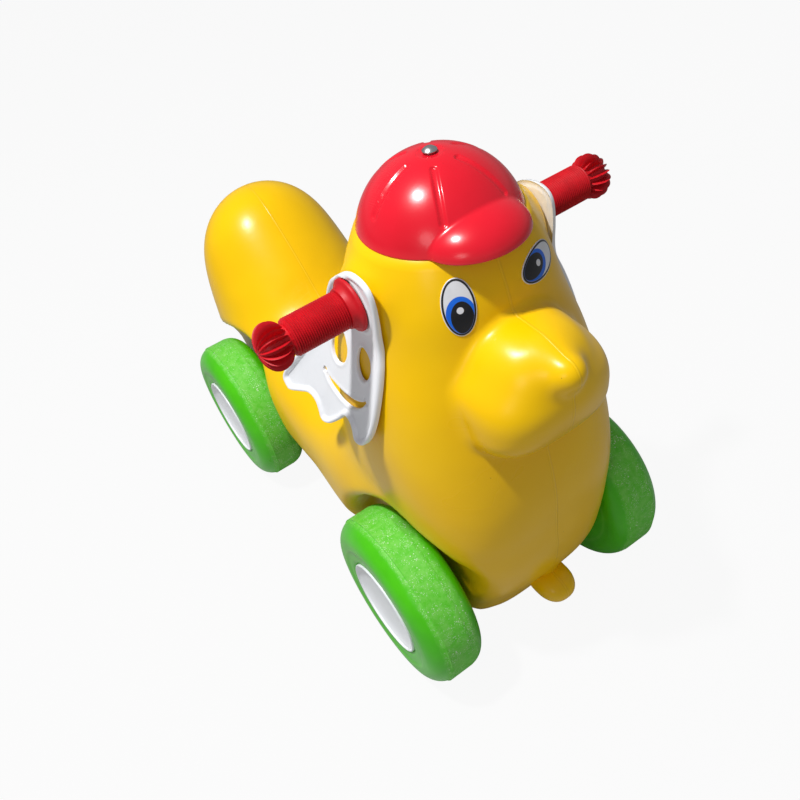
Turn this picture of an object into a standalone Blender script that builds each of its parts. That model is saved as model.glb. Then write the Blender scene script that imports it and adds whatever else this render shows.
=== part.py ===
"""Foot-to-floor ride-on toy in the shape of a puppy.

A hollow blow-moulded body carries a screwed-on cap, a steel handlebar with two
grips, two swinging ears, two eye stickers and four wheels on two steel axles.
World frame: metres, +Z up, the floor is z = 0, the puppy faces -Y and the origin
lies on the floor under the middle of the overall length.
"""

import bpy
import bmesh
import numpy as np
from math import cos, pi, radians, sin
from mathutils import Matrix
from mathutils.bvhtree import BVHTree

MM = 0.001

# Overall sizes
BODY_WIDTH = 200 * MM
BODY_LENGTH = 550 * MM
BODY_HEIGHT = 441 * MM
WHEELBASE = 316.8 * MM
TRACK = 199.6 * MM  # between the middles of the two treads
AXLES_MIDDLE = -7.1 * MM  # of the two axles, along Y

# Body shell
WALL = 3.0 * MM
LUG = (26 * MM, 46 * MM, 26 * MM)  # pull lug at the foot of the chest
LUG_PLACE = (0, -223, 77)  # on the form, see BODY FORM

# Clearances
GAP = 0.3 * MM  # between pieces that touch
RUNNING_GAP = 0.35 * MM  # radial, between a wheel's bore and its axle
WHEEL_ROOM = 12 * MM  # between a tread and the wheel well
BEVEL = 2.5 * MM

# Wheels
WHEEL_RADIUS = 80 * MM
WHEEL_WIDTH = 52 * MM
SHOULDER = 18 * MM  # round edge between tread and face
TREAD_STEPS = 24
INNER_RECESS = (44 * MM, 8 * MM)  # radius and depth of the hollow facing the body
OUTER_RECESS = (43.4 * MM, 22 * MM)  # radius and depth of the hollow behind the hub cap
HUB_RADIUS = 13 * MM
HUB_OVERHANG = 4.6 * MM  # of the hub past the wheel's inner face
HUB_LENGTH = 38 * MM
WHEEL_WALL = 3 * MM
BLOW_HOLE = 2.5 * MM  # radius of the moulding's vent, in the face towards the body
HUB_CAP_WALL = 2.0 * MM
HUB_CAP_DISH = 6 * MM

# Axles and their hardware
AXLE_RADIUS = 4 * MM
AXLE_STEPS = 12
BUSH_WALL = 2.8 * MM
BUSH_FLANGE = (11 * MM, 2 * MM)  # radius and thickness
BUSH_SLEEVE = 5 * MM
WASHER = (9 * MM, 1.6 * MM)
PUSH_NUT = (8 * MM, 3 * MM)
TUNNEL_WALL = 5 * MM  # of the moulded tunnel round each bush

# Handlebar, grips and ears
BAR_PLACE = (0, -138.8, 367)
BAR_RADIUS = 9.5 * MM
BAR_WALL = 1.5 * MM
BAR_BOSS = (23 * MM, 0.3725 * BODY_WIDTH)  # radius, and the distance of its face from the middle
EAR_THICKNESS = 2.4 * MM
GRIP_RADIUS = 13.3 * MM
GRIP_FLANGE = (18 * MM, 4 * MM)
GRIP_SLEEVE = 41 * MM
GRIP_BALL = (16 * MM, 11 * MM)  # radius, and half its thickness along the bar
GRIP_STEPS = 20

# Cap
CAP_CENTRE = (0, -140.2, 386.3)
CAP_RADIUS = 57  # on the form
CAP_RIM = 401  # height of its rim on the form
CAP_WALL = 2.4
CAP_GAP = 0.45
VISOR_CENTRE = (0, -178, 401)
VISOR_RADII = (37, 33, 21)
DOME_STEPS = 32
SCREW_HEAD = (5 * MM, 2.6 * MM)
SCREW_SHANK = (2 * MM, 14 * MM)

# Eye stickers
EYE_PLACE = (33, -200, 371)
EYE_RADII = (12 * MM, 20 * MM)
EYE_THICKNESS = 0.6 * MM
EYE_LIFT = 0.6 * MM  # of the sticker's underside from the shell's flats

# BODY FORM. Drawn in millimetres at FORM_SIZE and stretched to the body sizes above.
FORM_SIZE = (200 * MM, 550 * MM, 441 * MM)
STRETCH = np.array([BODY_WIDTH, BODY_LENGTH, BODY_HEIGHT]) / FORM_SIZE

# Upright part, chest to crown: height, half width, front, back, squareness of the plan
COLUMN = np.array([
    (40, 74, -204, -30, 3.4),
    (90, 82, -222, -20, 3.4),
    (130, 83, -233, -26, 3.5),
    (165, 87, -240, -34, 3.5),
    (200, 91, -242, -42, 3.2),
    (260, 91, -233, -55, 2.8),
    (300, 84, -222, -62, 2.8),
    (340, 73, -212, -68, 2.6),
    (370, 66, -206, -74, 2.4),
    (401, 56, -195, -86, 2.1),
    (425, 43, -183, -97, 2.0),
    (447, 10, -150, -130, 2.0),
])
CROWN = 446
BELLY = 40
# Rounded lumps: centre, radii, squareness
TORSO = ((0, 10, 126.5), (96, 225, 61.5), 2.7)
RUMP = ((0, 188, 156), (84, 84, 84), 2.0)
HUMP = ((0, 225, 226), (64, 52, 60), 2.0)
SNOUT = ((0, -210, 298), (53, 49, 33), 2.5, 3.2)  # with a second squareness, of its ends
BRIDGE = ((0, -213, 321), (37, 46, 33), 2.3)
NOSE = ((0, -240, 335), (0, -257, 336), 17, 12.5)  # two ends and their radii
# Spine that the form is skinned round: height of its level run, then the two bends
SPINE_LEVEL = 118
REAR_BEND = (105, 127, 65)  # centre, radius, sweep in degrees
FRONT_BEND = (10, 150)
SPINE_TOP = 386
NOSE_SHARE = 0.57  # of the upright run, where the nose lies
NOSE_CROWD = 9  # how far rings move towards the nose
REACH = 280  # of the rays that find the skin

YELLOW = (0.93, 0.60, 0.01)
RED = (0.60, 0.012, 0.02)
GREEN = (0.09, 0.55, 0.01)
WHITE = (0.82, 0.82, 0.84)
STEEL = (0.6, 0.6, 0.6)
DARK = (0.03, 0.03, 0.035)


# ---- scene helpers ----

def clear_scene():
    for obj in list(bpy.data.objects):
        bpy.data.objects.remove(obj, do_unlink=True)


def make_material(name, colour, roughness, metallic=0.0):
    material = bpy.data.materials.new(name)
    material.use_nodes = True
    shader = material.node_tree.nodes["Principled BSDF"]
    shader.inputs["Base Color"].default_value = (*colour, 1)
    shader.inputs["Roughness"].default_value = roughness
    shader.inputs["Metallic"].default_value = metallic
    return material


def add_object(name, mesh, material=None, location=(0, 0, 0)):
    obj = bpy.data.objects.new(name, mesh)
    obj.location = location
    bpy.context.scene.collection.objects.link(obj)
    if material:
        mesh.materials.append(material)
        mesh.shade_smooth()
        mesh.set_sharp_from_angle(angle=radians(35))
    else:
        obj.hide_render = True
        obj.display_type = "WIRE"
    return obj


def boolean(target, helper, operation="DIFFERENCE"):
    modifier = target.modifiers.new(helper.name, "BOOLEAN")
    modifier.operation = operation
    modifier.object = helper
    # The exact solver leaves open edges in the shell's long chain of cuts
    if target.name in ("body_shell", "cavity"):
        modifier.solver = "MANIFOLD"


def mesh_from_bmesh(name, bm):
    bmesh.ops.remove_doubles(bm, verts=bm.verts, dist=1e-6)
    bmesh.ops.recalc_face_normals(bm, faces=bm.faces)
    mesh = bpy.data.meshes.new(name)
    bm.to_mesh(mesh)
    bm.free()
    return mesh


def turned(name, profile, steps):
    """A closed outline of (along X, radius) points, turned round the X axis.

    A flat of the turned polygon faces straight down.
    """
    bm = bmesh.new()
    verts = [bm.verts.new((along, 0, -radius)) for along, radius in profile]
    edges = [bm.edges.new(pair) for pair in zip(verts, verts[1:])]
    if profile[0][1] > 0 or profile[-1][1] > 0:
        edges.append(bm.edges.new((verts[-1], verts[0])))
    turn = Matrix.Rotation(pi / steps, 3, "X")
    bmesh.ops.rotate(bm, verts=verts, matrix=turn)
    bmesh.ops.spin(bm, geom=verts + edges, axis=(1, 0, 0), cent=(0, 0, 0),
                   angle=2 * pi, steps=steps, use_merge=True)
    return mesh_from_bmesh(name, bm)


def ring_profile(inner, outer, start, end):
    return [(start, inner), (start, outer), (end, outer), (end, inner)]


def rod_profile(radius, start, end):
    return [(start, 0), (start, radius), (end, radius), (end, 0)]


def arc(centre, radius, start, end, steps):
    """Points (along, radius) on an arc; angles in degrees from the X axis."""
    angles = np.radians(np.linspace(start, end, steps + 1))
    return [(centre[0] + radius[0] * cos(a), centre[1] + radius[1] * sin(a)) for a in angles]


def mirrored(profile, side):
    """The same outline on the other side of the toy's middle plane."""
    return [(side * along, radius) for along, radius in profile]


def skin_mesh(name, rings, first=None, last=None):
    """Closed mesh over an array of rings, shape (count, around, 3).

    With end points the ends close in fans, without them the last ring meets the first.
    """
    count, around = rings.shape[:2]
    bm = bmesh.new()
    verts = [[bm.verts.new(p) for p in ring] for ring in rings]
    pairs = list(zip(verts, verts[1:]))
    if first is None:
        pairs.append((verts[-1], verts[0]))
    for low, high in pairs:
        for i in range(around):
            j = (i + 1) % around
            bm.faces.new((low[i], low[j], high[j], high[i]))
    if first is not None:
        for point, ring in ((first, verts[0]), (last, verts[count - 1])):
            tip = bm.verts.new(point)
            for i in range(around):
                bm.faces.new((tip, ring[i], ring[(i + 1) % around]))
    return mesh_from_bmesh(name, bm)


def cylinder_x(name, radius, start, end, y, z, steps=32):
    mesh = turned(name, rod_profile(radius, start, end), steps)
    return add_object(name, mesh, location=(0, y, z))


def on_form(place):
    """Points of the form drawing, whose origin is midway between the axles, in world metres."""
    return np.array(place) * MM * STRETCH + (0, AXLES_MIDDLE, 0)


def ellipsoid(name, centre, radii, steps=DOME_STEPS):
    bm = bmesh.new()
    bmesh.ops.create_uvsphere(bm, u_segments=steps, v_segments=steps // 2, radius=1)
    mesh = mesh_from_bmesh(name, bm)
    size = np.array(radii) * MM * STRETCH
    mesh.transform(Matrix.Diagonal((*size, 1)))
    return add_object(name, mesh, location=on_form(centre))


def block(name, low, high, bevel=0.0):
    bm = bmesh.new()
    bmesh.ops.create_cube(bm, size=1)
    low, high = np.array(low), np.array(high)
    bmesh.ops.scale(bm, vec=high - low, verts=bm.verts)
    bmesh.ops.translate(bm, vec=(low + high) / 2, verts=bm.verts)
    if bevel:
        bmesh.ops.bevel(bm, geom=bm.edges, offset=bevel, segments=3, profile=0.5, affect="EDGES")
    return add_object(name, mesh_from_bmesh(name, bm))


# ---- form of the body ----

def blend_min(a, b, width):
    """The lower of two fields, rounded where they are closer than width."""
    h = np.maximum(width - abs(a - b), 0) / width
    return np.minimum(a, b) - h * h * width / 4


def lump(p, centre, radii, power):
    q = p - centre
    k = (abs(q / radii) ** power).sum(-1) ** (1 / power)
    return np.linalg.norm(q, axis=-1) * (1 - 1 / np.maximum(k, 1e-3))


def pillow(p, centre, radii, power, end_power):
    q = p - centre
    across, along, up = np.moveaxis(abs(q / radii), -1, 0)
    k = (along**power + up**power) ** (1 / power)
    k = (across**end_power + k**end_power) ** (1 / end_power)
    return np.linalg.norm(q, axis=-1) * (1 - 1 / np.maximum(k, 1e-3))


def tapered(p, start, end, start_radius, end_radius):
    start, axis = np.array(start), np.subtract(end, start)
    t = np.clip((p - start) @ axis / (axis @ axis), 0, 1)
    return np.linalg.norm(p - start - t[..., None] * axis, axis=-1) - start_radius - t * (
        end_radius - start_radius)


def column(p):
    """The upright part: a rounded plan whose sizes change smoothly with height."""
    height = COLUMN[:, 0]
    slopes = np.gradient(COLUMN[:, 1:], height, axis=0)
    z = np.clip(p[..., 2], height[0], height[-1])
    i = np.clip(np.searchsorted(height, z, side="right") - 1, 0, len(height) - 2)
    step = height[i + 1] - height[i]
    t = ((z - height[i]) / step)[..., None]
    step = step[..., None]
    low, high = COLUMN[i, 1:], COLUMN[i + 1, 1:]
    sizes = (low + (high - low) * t * t * (3 - 2 * t)
             + step * t * (1 - t) * ((1 - t) * slopes[i] - t * slopes[i + 1]))
    half, front, back, power = np.moveaxis(sizes, -1, 0)
    across, along = abs(p[..., 0]), abs(p[..., 1] - (front + back) / 2)
    k = ((across / half) ** power + (2 * along / (back - front)) ** power) ** (1 / power)
    side = 0.9 * np.hypot(across, along) * (1 - 1 / np.maximum(k, 0.2))
    side = -blend_min(-side, p[..., 2] - BELLY, 20)
    return -blend_min(-side, CROWN - p[..., 2], 10)


def body_field(p):
    """Below zero inside the body, without its wheel wells, lug and bosses."""
    trunk = blend_min(lump(p, *TORSO), lump(p, *RUMP), 50)
    trunk = blend_min(trunk, lump(p, *HUMP), 60)
    face = blend_min(pillow(p, *SNOUT), lump(p, *BRIDGE), 22)
    face = blend_min(face, tapered(p, *NOSE), 9)
    return blend_min(blend_min(column(p), trunk, 52), face, 6)


def surface_normal(p):
    """Outward unit normal of the form, in world directions."""
    step = 0.5 * np.eye(3)
    slope = np.stack([body_field(p + s) - body_field(p - s) for s in step], -1) / STRETCH
    return slope / np.linalg.norm(slope, axis=-1, keepdims=True)


def first_exit(origin, direction, reach=REACH):
    """Where rays that start inside the form leave it."""
    near = np.zeros(direction.shape[:-1])
    far = np.full_like(near, float(reach))
    found = np.zeros(near.shape, bool)
    for t in np.arange(2.0, reach, 2.0):
        outside = ~found & (body_field(origin + t * direction) > 0)
        near[outside], far[outside] = t - 2, t
        found |= outside
    for _ in range(16):
        middle = (near + far) / 2
        inside = body_field(origin + middle[..., None] * direction) < 0
        near, far = np.where(inside, middle, near), np.where(inside, far, middle)
    return origin + near[..., None] * direction


def spine_rings():
    """Origin, outward and end directions and lift of each ring, tail to crown."""
    rings = []
    bend_y, bend_radius, sweep = REAR_BEND
    bend_z = SPINE_LEVEL + bend_radius

    def rear(angle):
        a = radians(angle)
        place = (bend_y + bend_radius * sin(a), bend_z - bend_radius * cos(a))
        return place, (sin(a), -cos(a)), (cos(a), sin(a))

    for lift in (70, 47, 23):
        rings.append((*rear(sweep), lift))
    for angle in np.linspace(sweep, 0, 6):
        rings.append((*rear(angle), 0))
    front_y, front_radius = FRONT_BEND
    for y in np.linspace(bend_y, front_y, 5)[1:-1]:
        rings.append(((y, SPINE_LEVEL), (0, -1), (1, 0), 0))
    for angle in np.linspace(0, 90, 11):
        a = radians(angle)
        place = (front_y - front_radius * sin(a), SPINE_LEVEL + front_radius * (1 - cos(a)))
        rings.append((place, (-sin(a), -cos(a)), (0, 1), 0))
    top_y = front_y - front_radius
    low_z = SPINE_LEVEL + front_radius
    for t in np.linspace(0, 1, 13)[1:]:
        # Closer together at the nose
        crowd = NOSE_CROWD * (sin(2 * pi * (t - NOSE_SHARE)) + sin(2 * pi * NOSE_SHARE))
        z = low_z + t * (SPINE_TOP - low_z) - crowd
        rings.append(((top_y, z), (-1, 0), (0, 1), 0))
    for lift in (24, 48, 72):
        rings.append(((top_y, SPINE_TOP), (-1, 0), (0, 1), lift))
    return rings


def body_skin(around=28):
    """Outer and inner skin points of the body as rings, each with two end points."""
    rings = spine_rings()
    even = np.linspace(-pi, pi, around, endpoint=False) + pi / around
    # Closer together on the underside, and more so on the face
    focus = np.array([0.3 - 0.3 * min(r[1][0], 0) for r in rings])[:, None]
    turn = even - focus * np.sin(even)
    place = np.array([(0, *r[0]) for r in rings], float)[:, None]
    out = np.array([(0, *r[1]) for r in rings], float)[:, None]
    end = np.array([(0, *r[2]) for r in rings], float)[:, None]
    lift = np.radians([r[3] for r in rings])[:, None, None]
    across = np.array([1.0, 0, 0])
    fan = np.cos(turn)[..., None] * out + np.sin(turn)[..., None] * across
    direction = np.cos(lift) * fan + np.sin(lift) * end
    skin = first_exit(np.broadcast_to(place, direction.shape), direction)
    tips = first_exit(place[[0, -1], 0], end[[0, -1], 0])
    outer, outer_tips = on_form(skin), on_form(tips)
    inner = outer - WALL * surface_normal(skin)
    inner_tips = outer_tips - WALL * surface_normal(tips)
    return (outer, *outer_tips), (inner, *inner_tips)


# ---- sub-parts ----

def well_cutters(name, inner_face, radius):
    cutters = []
    for row, y in AXLES.items():
        for side_name, side in SIDES.items():
            ends = sorted((side * inner_face, side * (TRACK + WHEEL_WIDTH)))
            cutters.append(cylinder_x(f"{name}_{row}_{side_name}", radius, *ends, y, WHEEL_RADIUS, 28))
    return cutters


def cap_seat(name, radius, floor):
    """What stands outside a dome of the given radius, above the floor height."""
    seat = block(name, on_form((-150, -300, floor)), on_form((150, 40, CROWN + 20)))
    boolean(seat, ellipsoid(name + "_dome", CAP_CENTRE, (radius,) * 3))
    return seat


def make_body(yellow):
    outer, inner = body_skin()
    body = add_object("body_shell", skin_mesh("body_shell", *outer), yellow)
    cavity = add_object("cavity", skin_mesh("cavity", *inner))
    bar = on_form(BAR_PLACE)
    boss_radius, boss_face = BAR_BOSS
    boolean(body, cylinder_x("bar_boss", boss_radius, -boss_face, boss_face, bar[1], bar[2]), "UNION")
    tunnel_radius = BUSH_RADIUS + TUNNEL_WALL
    for row, y in AXLES.items():
        tunnel = cylinder_x(f"{row}_tunnel", tunnel_radius, -WELL_FACE - BEVEL, WELL_FACE + BEVEL, y,
                            WHEEL_RADIUS, 24)
        boolean(body, tunnel, "UNION")
    middle, half = on_form(LUG_PLACE), np.array(LUG) / 2
    boolean(body, block("lug", middle - half, middle + half, bevel=3 * BEVEL), "UNION")

    seat_radius = CAP_RADIUS - CAP_WALL - CAP_GAP
    wall = WALL / MM
    boolean(body, cap_seat("cap_seat", seat_radius, CAP_RIM - CAP_GAP))
    boolean(cavity, cap_seat("cap_seat_inside", seat_radius - wall, CAP_RIM - CAP_GAP - wall))
    well_radius = WHEEL_RADIUS + WHEEL_ROOM
    for cutter in well_cutters("well", WELL_FACE, well_radius):
        boolean(body, cutter)
    for cutter in well_cutters("well_inside", WELL_FACE - WALL, well_radius + WALL):
        boolean(cavity, cutter)

    # The bores open the cavity, so they are cut together with it
    reach = 2 * boss_face
    bore = cylinder_x("bar_bore", BORE_RADIUS, -reach, reach, bar[1], bar[2], 20)
    boolean(cavity, bore, "UNION")
    for row, y in AXLES.items():
        bore = cylinder_x(f"{row}_axle_bore", BUSH_RADIUS + GAP, -reach, reach, y, WHEEL_RADIUS, 20)
        boolean(cavity, bore, "UNION")
    boolean(cavity, screw_hole("screw_bore"), "UNION")
    boolean(body, cavity)
    return body


def screw_hole(name):
    bm = bmesh.new()
    bmesh.ops.create_cone(bm, cap_ends=True, segments=14, radius1=SCREW_SHANK[0] + GAP,
                          radius2=SCREW_SHANK[0] + GAP, depth=4 * SCREW_SHANK[1])
    turn = Matrix.Rotation(radians(5), 3, "Z")  # its corners keep off the dome's edges
    bmesh.ops.rotate(bm, verts=bm.verts, matrix=turn)
    return add_object(name, mesh_from_bmesh(name, bm), location=CAP_TOP)


def make_cap(red, steel):
    cap = ellipsoid("cap", CAP_CENTRE, (CAP_RADIUS,) * 3)
    cap.hide_render = False
    cap.display_type = "TEXTURED"
    cap.data.materials.append(red)
    cap.data.shade_smooth()
    visor = ellipsoid("visor", VISOR_CENTRE, VISOR_RADII)
    hollow = ellipsoid("cap_hollow", CAP_CENTRE, (CAP_RADIUS - CAP_WALL,) * 3)
    thin = np.array(VISOR_RADII) - CAP_WALL
    boolean(hollow, ellipsoid("visor_hollow", VISOR_CENTRE, thin), "UNION")
    boolean(cap, visor, "UNION")
    boolean(cap, hollow)
    boolean(cap, block("cap_base", on_form((-100, -300, 200)), on_form((100, 0, CAP_RIM))))
    boolean(cap, screw_hole("cap_hole"))

    radius, height = SCREW_HEAD
    shank_radius, shank = SCREW_SHANK
    profile = [(-shank, 0), (-shank, shank_radius), (GAP, shank_radius), (GAP, radius)]
    profile += arc((GAP + height * 0.3, 0), (height * 0.7, radius), 90, 0, 5)
    mesh = turned("cap_screw", profile, 20)
    mesh.transform(Matrix.Rotation(-pi / 2, 4, "Y"))
    add_object("cap_screw", mesh, steel, location=CAP_TOP)


def make_eyes(body, white):
    """A thin oval laid on the face, closed by its edge."""
    bpy.context.view_layer.update()
    shell = BVHTree.FromObject(body, bpy.context.evaluated_depsgraph_get())
    turn = np.linspace(0, 2 * pi, 24, endpoint=False)
    grow = np.array([0.34, 0.68, 1.0])[:, None]
    for name, side in SIDES.items():
        form_centre = np.array((side * EYE_PLACE[0], *EYE_PLACE[1:]), float)
        normal = surface_normal(form_centre)
        up = np.array([0, 0, 1.0]) - normal * normal[2]
        up /= np.linalg.norm(up)
        across = np.cross(up, normal)
        a = EYE_RADII[0] * grow * np.cos(turn)
        b = EYE_RADII[1] * grow * np.sin(turn)
        flat = on_form(form_centre) + a[..., None] * across + b[..., None] * up
        points = [*flat.reshape(-1, 3), on_form(form_centre)]
        start = [p + 10 * EYE_RADII[0] * normal for p in points]
        hits = np.array([shell.ray_cast(p, -normal)[0] for p in start])
        under, over = hits + EYE_LIFT * normal, hits + (EYE_LIFT + EYE_THICKNESS) * normal
        shape = (len(grow), len(turn), 3)
        rings = np.concatenate([under[:-1].reshape(shape), over[:-1].reshape(shape)[::-1]])
        mesh = skin_mesh(f"eye_sticker_{name}", rings, under[-1], over[-1])
        add_object(f"eye_sticker_{name}", mesh, white)


def make_handlebar(steel, red):
    bar = on_form(BAR_PLACE)
    start = EAR_FACE + EAR_THICKNESS + GAP
    flange_radius, flange = GRIP_FLANGE
    ball_radius, ball_half = GRIP_BALL
    ball_centre = start + flange + GRIP_SLEEVE + ball_half
    bar_end = ball_centre - GAP
    tube = turned("handlebar_tube", ring_profile(BAR_RADIUS - BAR_WALL, BAR_RADIUS, -bar_end, bar_end), 24)
    add_object("handlebar_tube", tube, steel, location=bar)
    bore = BORE_RADIUS
    neck = 0.92 * GRIP_RADIUS
    outline = [(start, bore), (start, flange_radius), (start + 0.8 * flange, flange_radius)]
    outline += [(start + flange, GRIP_RADIUS + MM), (start + flange + 2 * MM, GRIP_RADIUS)]
    outline += [(ball_centre - ball_half, GRIP_RADIUS), (ball_centre - 0.8 * ball_half, neck)]
    outline += arc((ball_centre, 0), (ball_half, ball_radius), 120, 0, 6)
    outline[-1] = (ball_centre + ball_half, 0)
    outline += [(bar_end + GAP, 0), (bar_end + GAP, bore)]
    closed = outline + [outline[0]]
    for name, side in SIDES.items():
        mesh = turned(f"grip_{name}", mirrored(closed, side), GRIP_STEPS)
        add_object(f"grip_{name}", mesh, red, location=bar)


# Ear outline, millimetres back from and below the handlebar's axis
EAR_OUTLINE = np.array([
    (0, -24), (-17, -17), (-25, -2), (-30, 14), (-32, 36), (-32, 60), (-29, 84), (-23, 98), (-14, 104),
    (-6, 101), (1, 94), (11, 98), (22, 105), (31, 105), (36, 94), (46, 91), (58, 98), (70, 103),
    (80, 100), (82, 90), (72, 78), (57, 56), (40, 28), (26, 6), (17, -17),
], float)
EAR_EYES = ((-14, 38), (14, 39))
EAR_EYE_RADII = (9, 12)
EAR_SMILE = (6, 52, 26, 4.5)  # centre, radius and greatest thickness
EAR_COLLAR = 20  # radius of the ring round the handlebar
EAR_FLAT = 26  # the plate leans outwards below this distance
EAR_LEAN = 0.36
EAR_YAW = 0.12


def ramp(distance, softness=4):
    return (np.hypot(distance - EAR_FLAT, softness) + distance - EAR_FLAT) / 2


def ear_points(back, down, out):
    """The ear's sheet: flat round the handlebar, then leaning away from the head."""
    lean = EAR_LEAN * ramp(down) + EAR_YAW * ramp(back)
    return np.stack([out + lean * MM, back * MM, -down * MM], -1)


def prism(name, outline, low, high):
    """An outline of (back, down) points drawn out along X, in the ear's own frame."""
    rings = [[(x, back * MM, -down * MM) for back, down in outline] for x in (low, high)]
    middle = np.mean(outline, axis=0) * MM
    mesh = skin_mesh(name, np.array(rings), (low, middle[0], -middle[1]), (high, middle[0], -middle[1]))
    return add_object(name, mesh)


def make_ears(white):
    loop = EAR_OUTLINE
    bearing = np.arctan2(loop[:, 1], loop[:, 0])
    rim = np.stack([np.cos(bearing), np.sin(bearing)], -1)
    collar = EAR_COLLAR * rim
    rows = np.stack([0.2 * collar, collar, (collar + loop) / 2, loop])
    turn = np.linspace(0, 2 * pi, 14, endpoint=False)
    oval = np.stack([np.cos(turn) * EAR_EYE_RADII[0], np.sin(turn) * EAR_EYE_RADII[1]], -1)
    centre_back, centre_down, radius, thickness = EAR_SMILE
    sweep = np.radians(np.linspace(25, 155, 8))
    fade = np.sin(np.linspace(0, pi, 8)) * thickness / 2 + 1
    arms = [radius + fade, (radius - fade)[::-1]]
    angles = [sweep, sweep[::-1]]
    smile = np.concatenate([np.stack([centre_back + r * np.cos(a), centre_down + r * np.sin(a)], -1)
                            for r, a in zip(arms, angles)])
    bar = on_form(BAR_PLACE)
    for name, side in SIDES.items():
        near = ear_points(rows[..., 0], rows[..., 1], EAR_FACE)
        far = ear_points(rows[..., 0], rows[..., 1], EAR_FACE + EAR_THICKNESS)
        rings = np.concatenate([near, far[::-1]])
        rings[..., 0] *= side
        ear = add_object(f"ear_{name}", skin_mesh(f"ear_{name}", rings), white, location=bar)
        ends = sorted((side * EAR_FACE / 2, side * 2 * EAR_FACE))
        cutters = [prism(f"ear_hole_{name}_{i}", oval + place, *ends) for i, place in enumerate(EAR_EYES)]
        cutters.append(slot_prism(f"ear_smile_{name}", smile, *ends))
        ear_bore = turned("ear_bore", rod_profile(BORE_RADIUS, *ends), 24)
        cutters.append(add_object(f"ear_bore_{name}", ear_bore))
        for cutter in cutters:
            cutter.parent = ear
            boolean(ear, cutter)


def slot_prism(name, outline, low, high):
    """A curved slot drawn out along X; its two arms are joined crosswise."""
    half = len(outline) // 2
    outer, inner = outline[:half], outline[half:][::-1]
    bm = bmesh.new()

    def corner(x, point):
        return bm.verts.new((x, point[0] * MM, -point[1] * MM))

    grid = [[corner(low, o), corner(high, o), corner(high, i), corner(low, i)] for o, i in zip(outer, inner)]
    for a, b in zip(grid, grid[1:]):
        for i in range(4):
            j = (i + 1) % 4
            bm.faces.new((a[i], a[j], b[j], b[i]))
    bm.faces.new(grid[0])
    bm.faces.new(grid[-1])
    return add_object(name, mesh_from_bmesh(name, bm))


def wheel_outline():
    """Outline of a right-hand wheel from its inner face at 0 to its outer face."""
    crown = WHEEL_RADIUS / cos(pi / TREAD_STEPS)  # flats, not corners, lie at the radius
    shoulder = crown - SHOULDER
    bore = AXLE_RADIUS + RUNNING_GAP
    inner_radius, inner_depth = INNER_RECESS
    outer_radius, outer_depth = OUTER_RECESS
    hub_end = HUB_LENGTH - HUB_OVERHANG
    floor = WHEEL_WIDTH - outer_depth
    outline = [(-HUB_OVERHANG, bore), (-HUB_OVERHANG, HUB_RADIUS), (inner_depth, HUB_RADIUS)]
    outline += [(inner_depth, inner_radius), (0, inner_radius)]
    outline += arc((SHOULDER, shoulder), (SHOULDER, SHOULDER), 180, 90, 3)
    outline += arc((WHEEL_WIDTH - SHOULDER, shoulder), (SHOULDER, SHOULDER), 90, 0, 3)
    outline += [(WHEEL_WIDTH, outer_radius + BEVEL), (WHEEL_WIDTH - BEVEL, outer_radius)]
    outline += [(floor, outer_radius), (floor, HUB_RADIUS), (hub_end, HUB_RADIUS), (hub_end, bore)]
    return outline


def wheel_hollow():
    """Outline of the hollow that leaves WHEEL_WALL all round the wheel."""
    shoulder = WHEEL_RADIUS - SHOULDER
    round_in = SHOULDER - WHEEL_WALL
    inner_radius, inner_depth = INNER_RECESS
    outer_radius, outer_depth = OUTER_RECESS
    web = (inner_depth + WHEEL_WALL, WHEEL_WIDTH - outer_depth - WHEEL_WALL)
    outline = [(WHEEL_WALL, inner_radius + WHEEL_WALL)]
    outline += arc((SHOULDER, shoulder), (round_in, round_in), 180, 90, 2)
    outline += arc((WHEEL_WIDTH - SHOULDER, shoulder), (round_in, round_in), 90, 0, 2)
    outline += [(WHEEL_WIDTH - WHEEL_WALL, outer_radius + BEVEL + WHEEL_WALL)]
    outline += [(WHEEL_WIDTH - WHEEL_WALL - BEVEL, outer_radius + WHEEL_WALL)]
    outline += [(web[1], outer_radius + WHEEL_WALL)]
    outline += [(web[1], HUB_RADIUS + WHEEL_WALL), (web[0], HUB_RADIUS + WHEEL_WALL)]
    return outline + [(web[0], inner_radius + WHEEL_WALL), outline[0]]


def hollow_wheel(wheel, name, side, inner_face, y):
    hollow = turned(f"hollow_{name}", mirrored(wheel_hollow(), side), TREAD_STEPS)
    cutter = add_object(f"hollow_{name}", hollow, location=(side * inner_face, y, WHEEL_RADIUS))
    vent_height = WHEEL_RADIUS + (INNER_RECESS[0] + WHEEL_RADIUS - SHOULDER) / 2
    ends = sorted((side * (inner_face - WHEEL_WALL), side * (inner_face + 2 * WHEEL_WALL)))
    boolean(cutter, cylinder_x(f"vent_{name}", BLOW_HOLE, *ends, y, vent_height, 10), "UNION")
    boolean(wheel, cutter)


def hub_cap_outline():
    """A dished cap whose skirt stands on the floor of the wheel's outer recess."""
    radius = OUTER_RECESS[0] - GAP
    skirt = radius - HUB_CAP_WALL
    foot = WHEEL_WIDTH - OUTER_RECESS[1] + GAP
    lip = WHEEL_WIDTH - 0.5 * MM
    centre = lip - HUB_CAP_DISH
    back = centre - HUB_CAP_WALL
    dish = [(centre + HUB_CAP_DISH * s**3, skirt * s) for s in (0, 0.5, 0.85)]
    under = [(back + 0.8 * HUB_CAP_DISH * s**3, (skirt - MM) * s) for s in (1, 0.6, 0)]
    return dish + [(lip, skirt), (lip + 0.4 * MM, radius - MM), (lip - 0.4 * MM, radius),
                   (foot, radius), (foot, skirt)] + under


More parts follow.
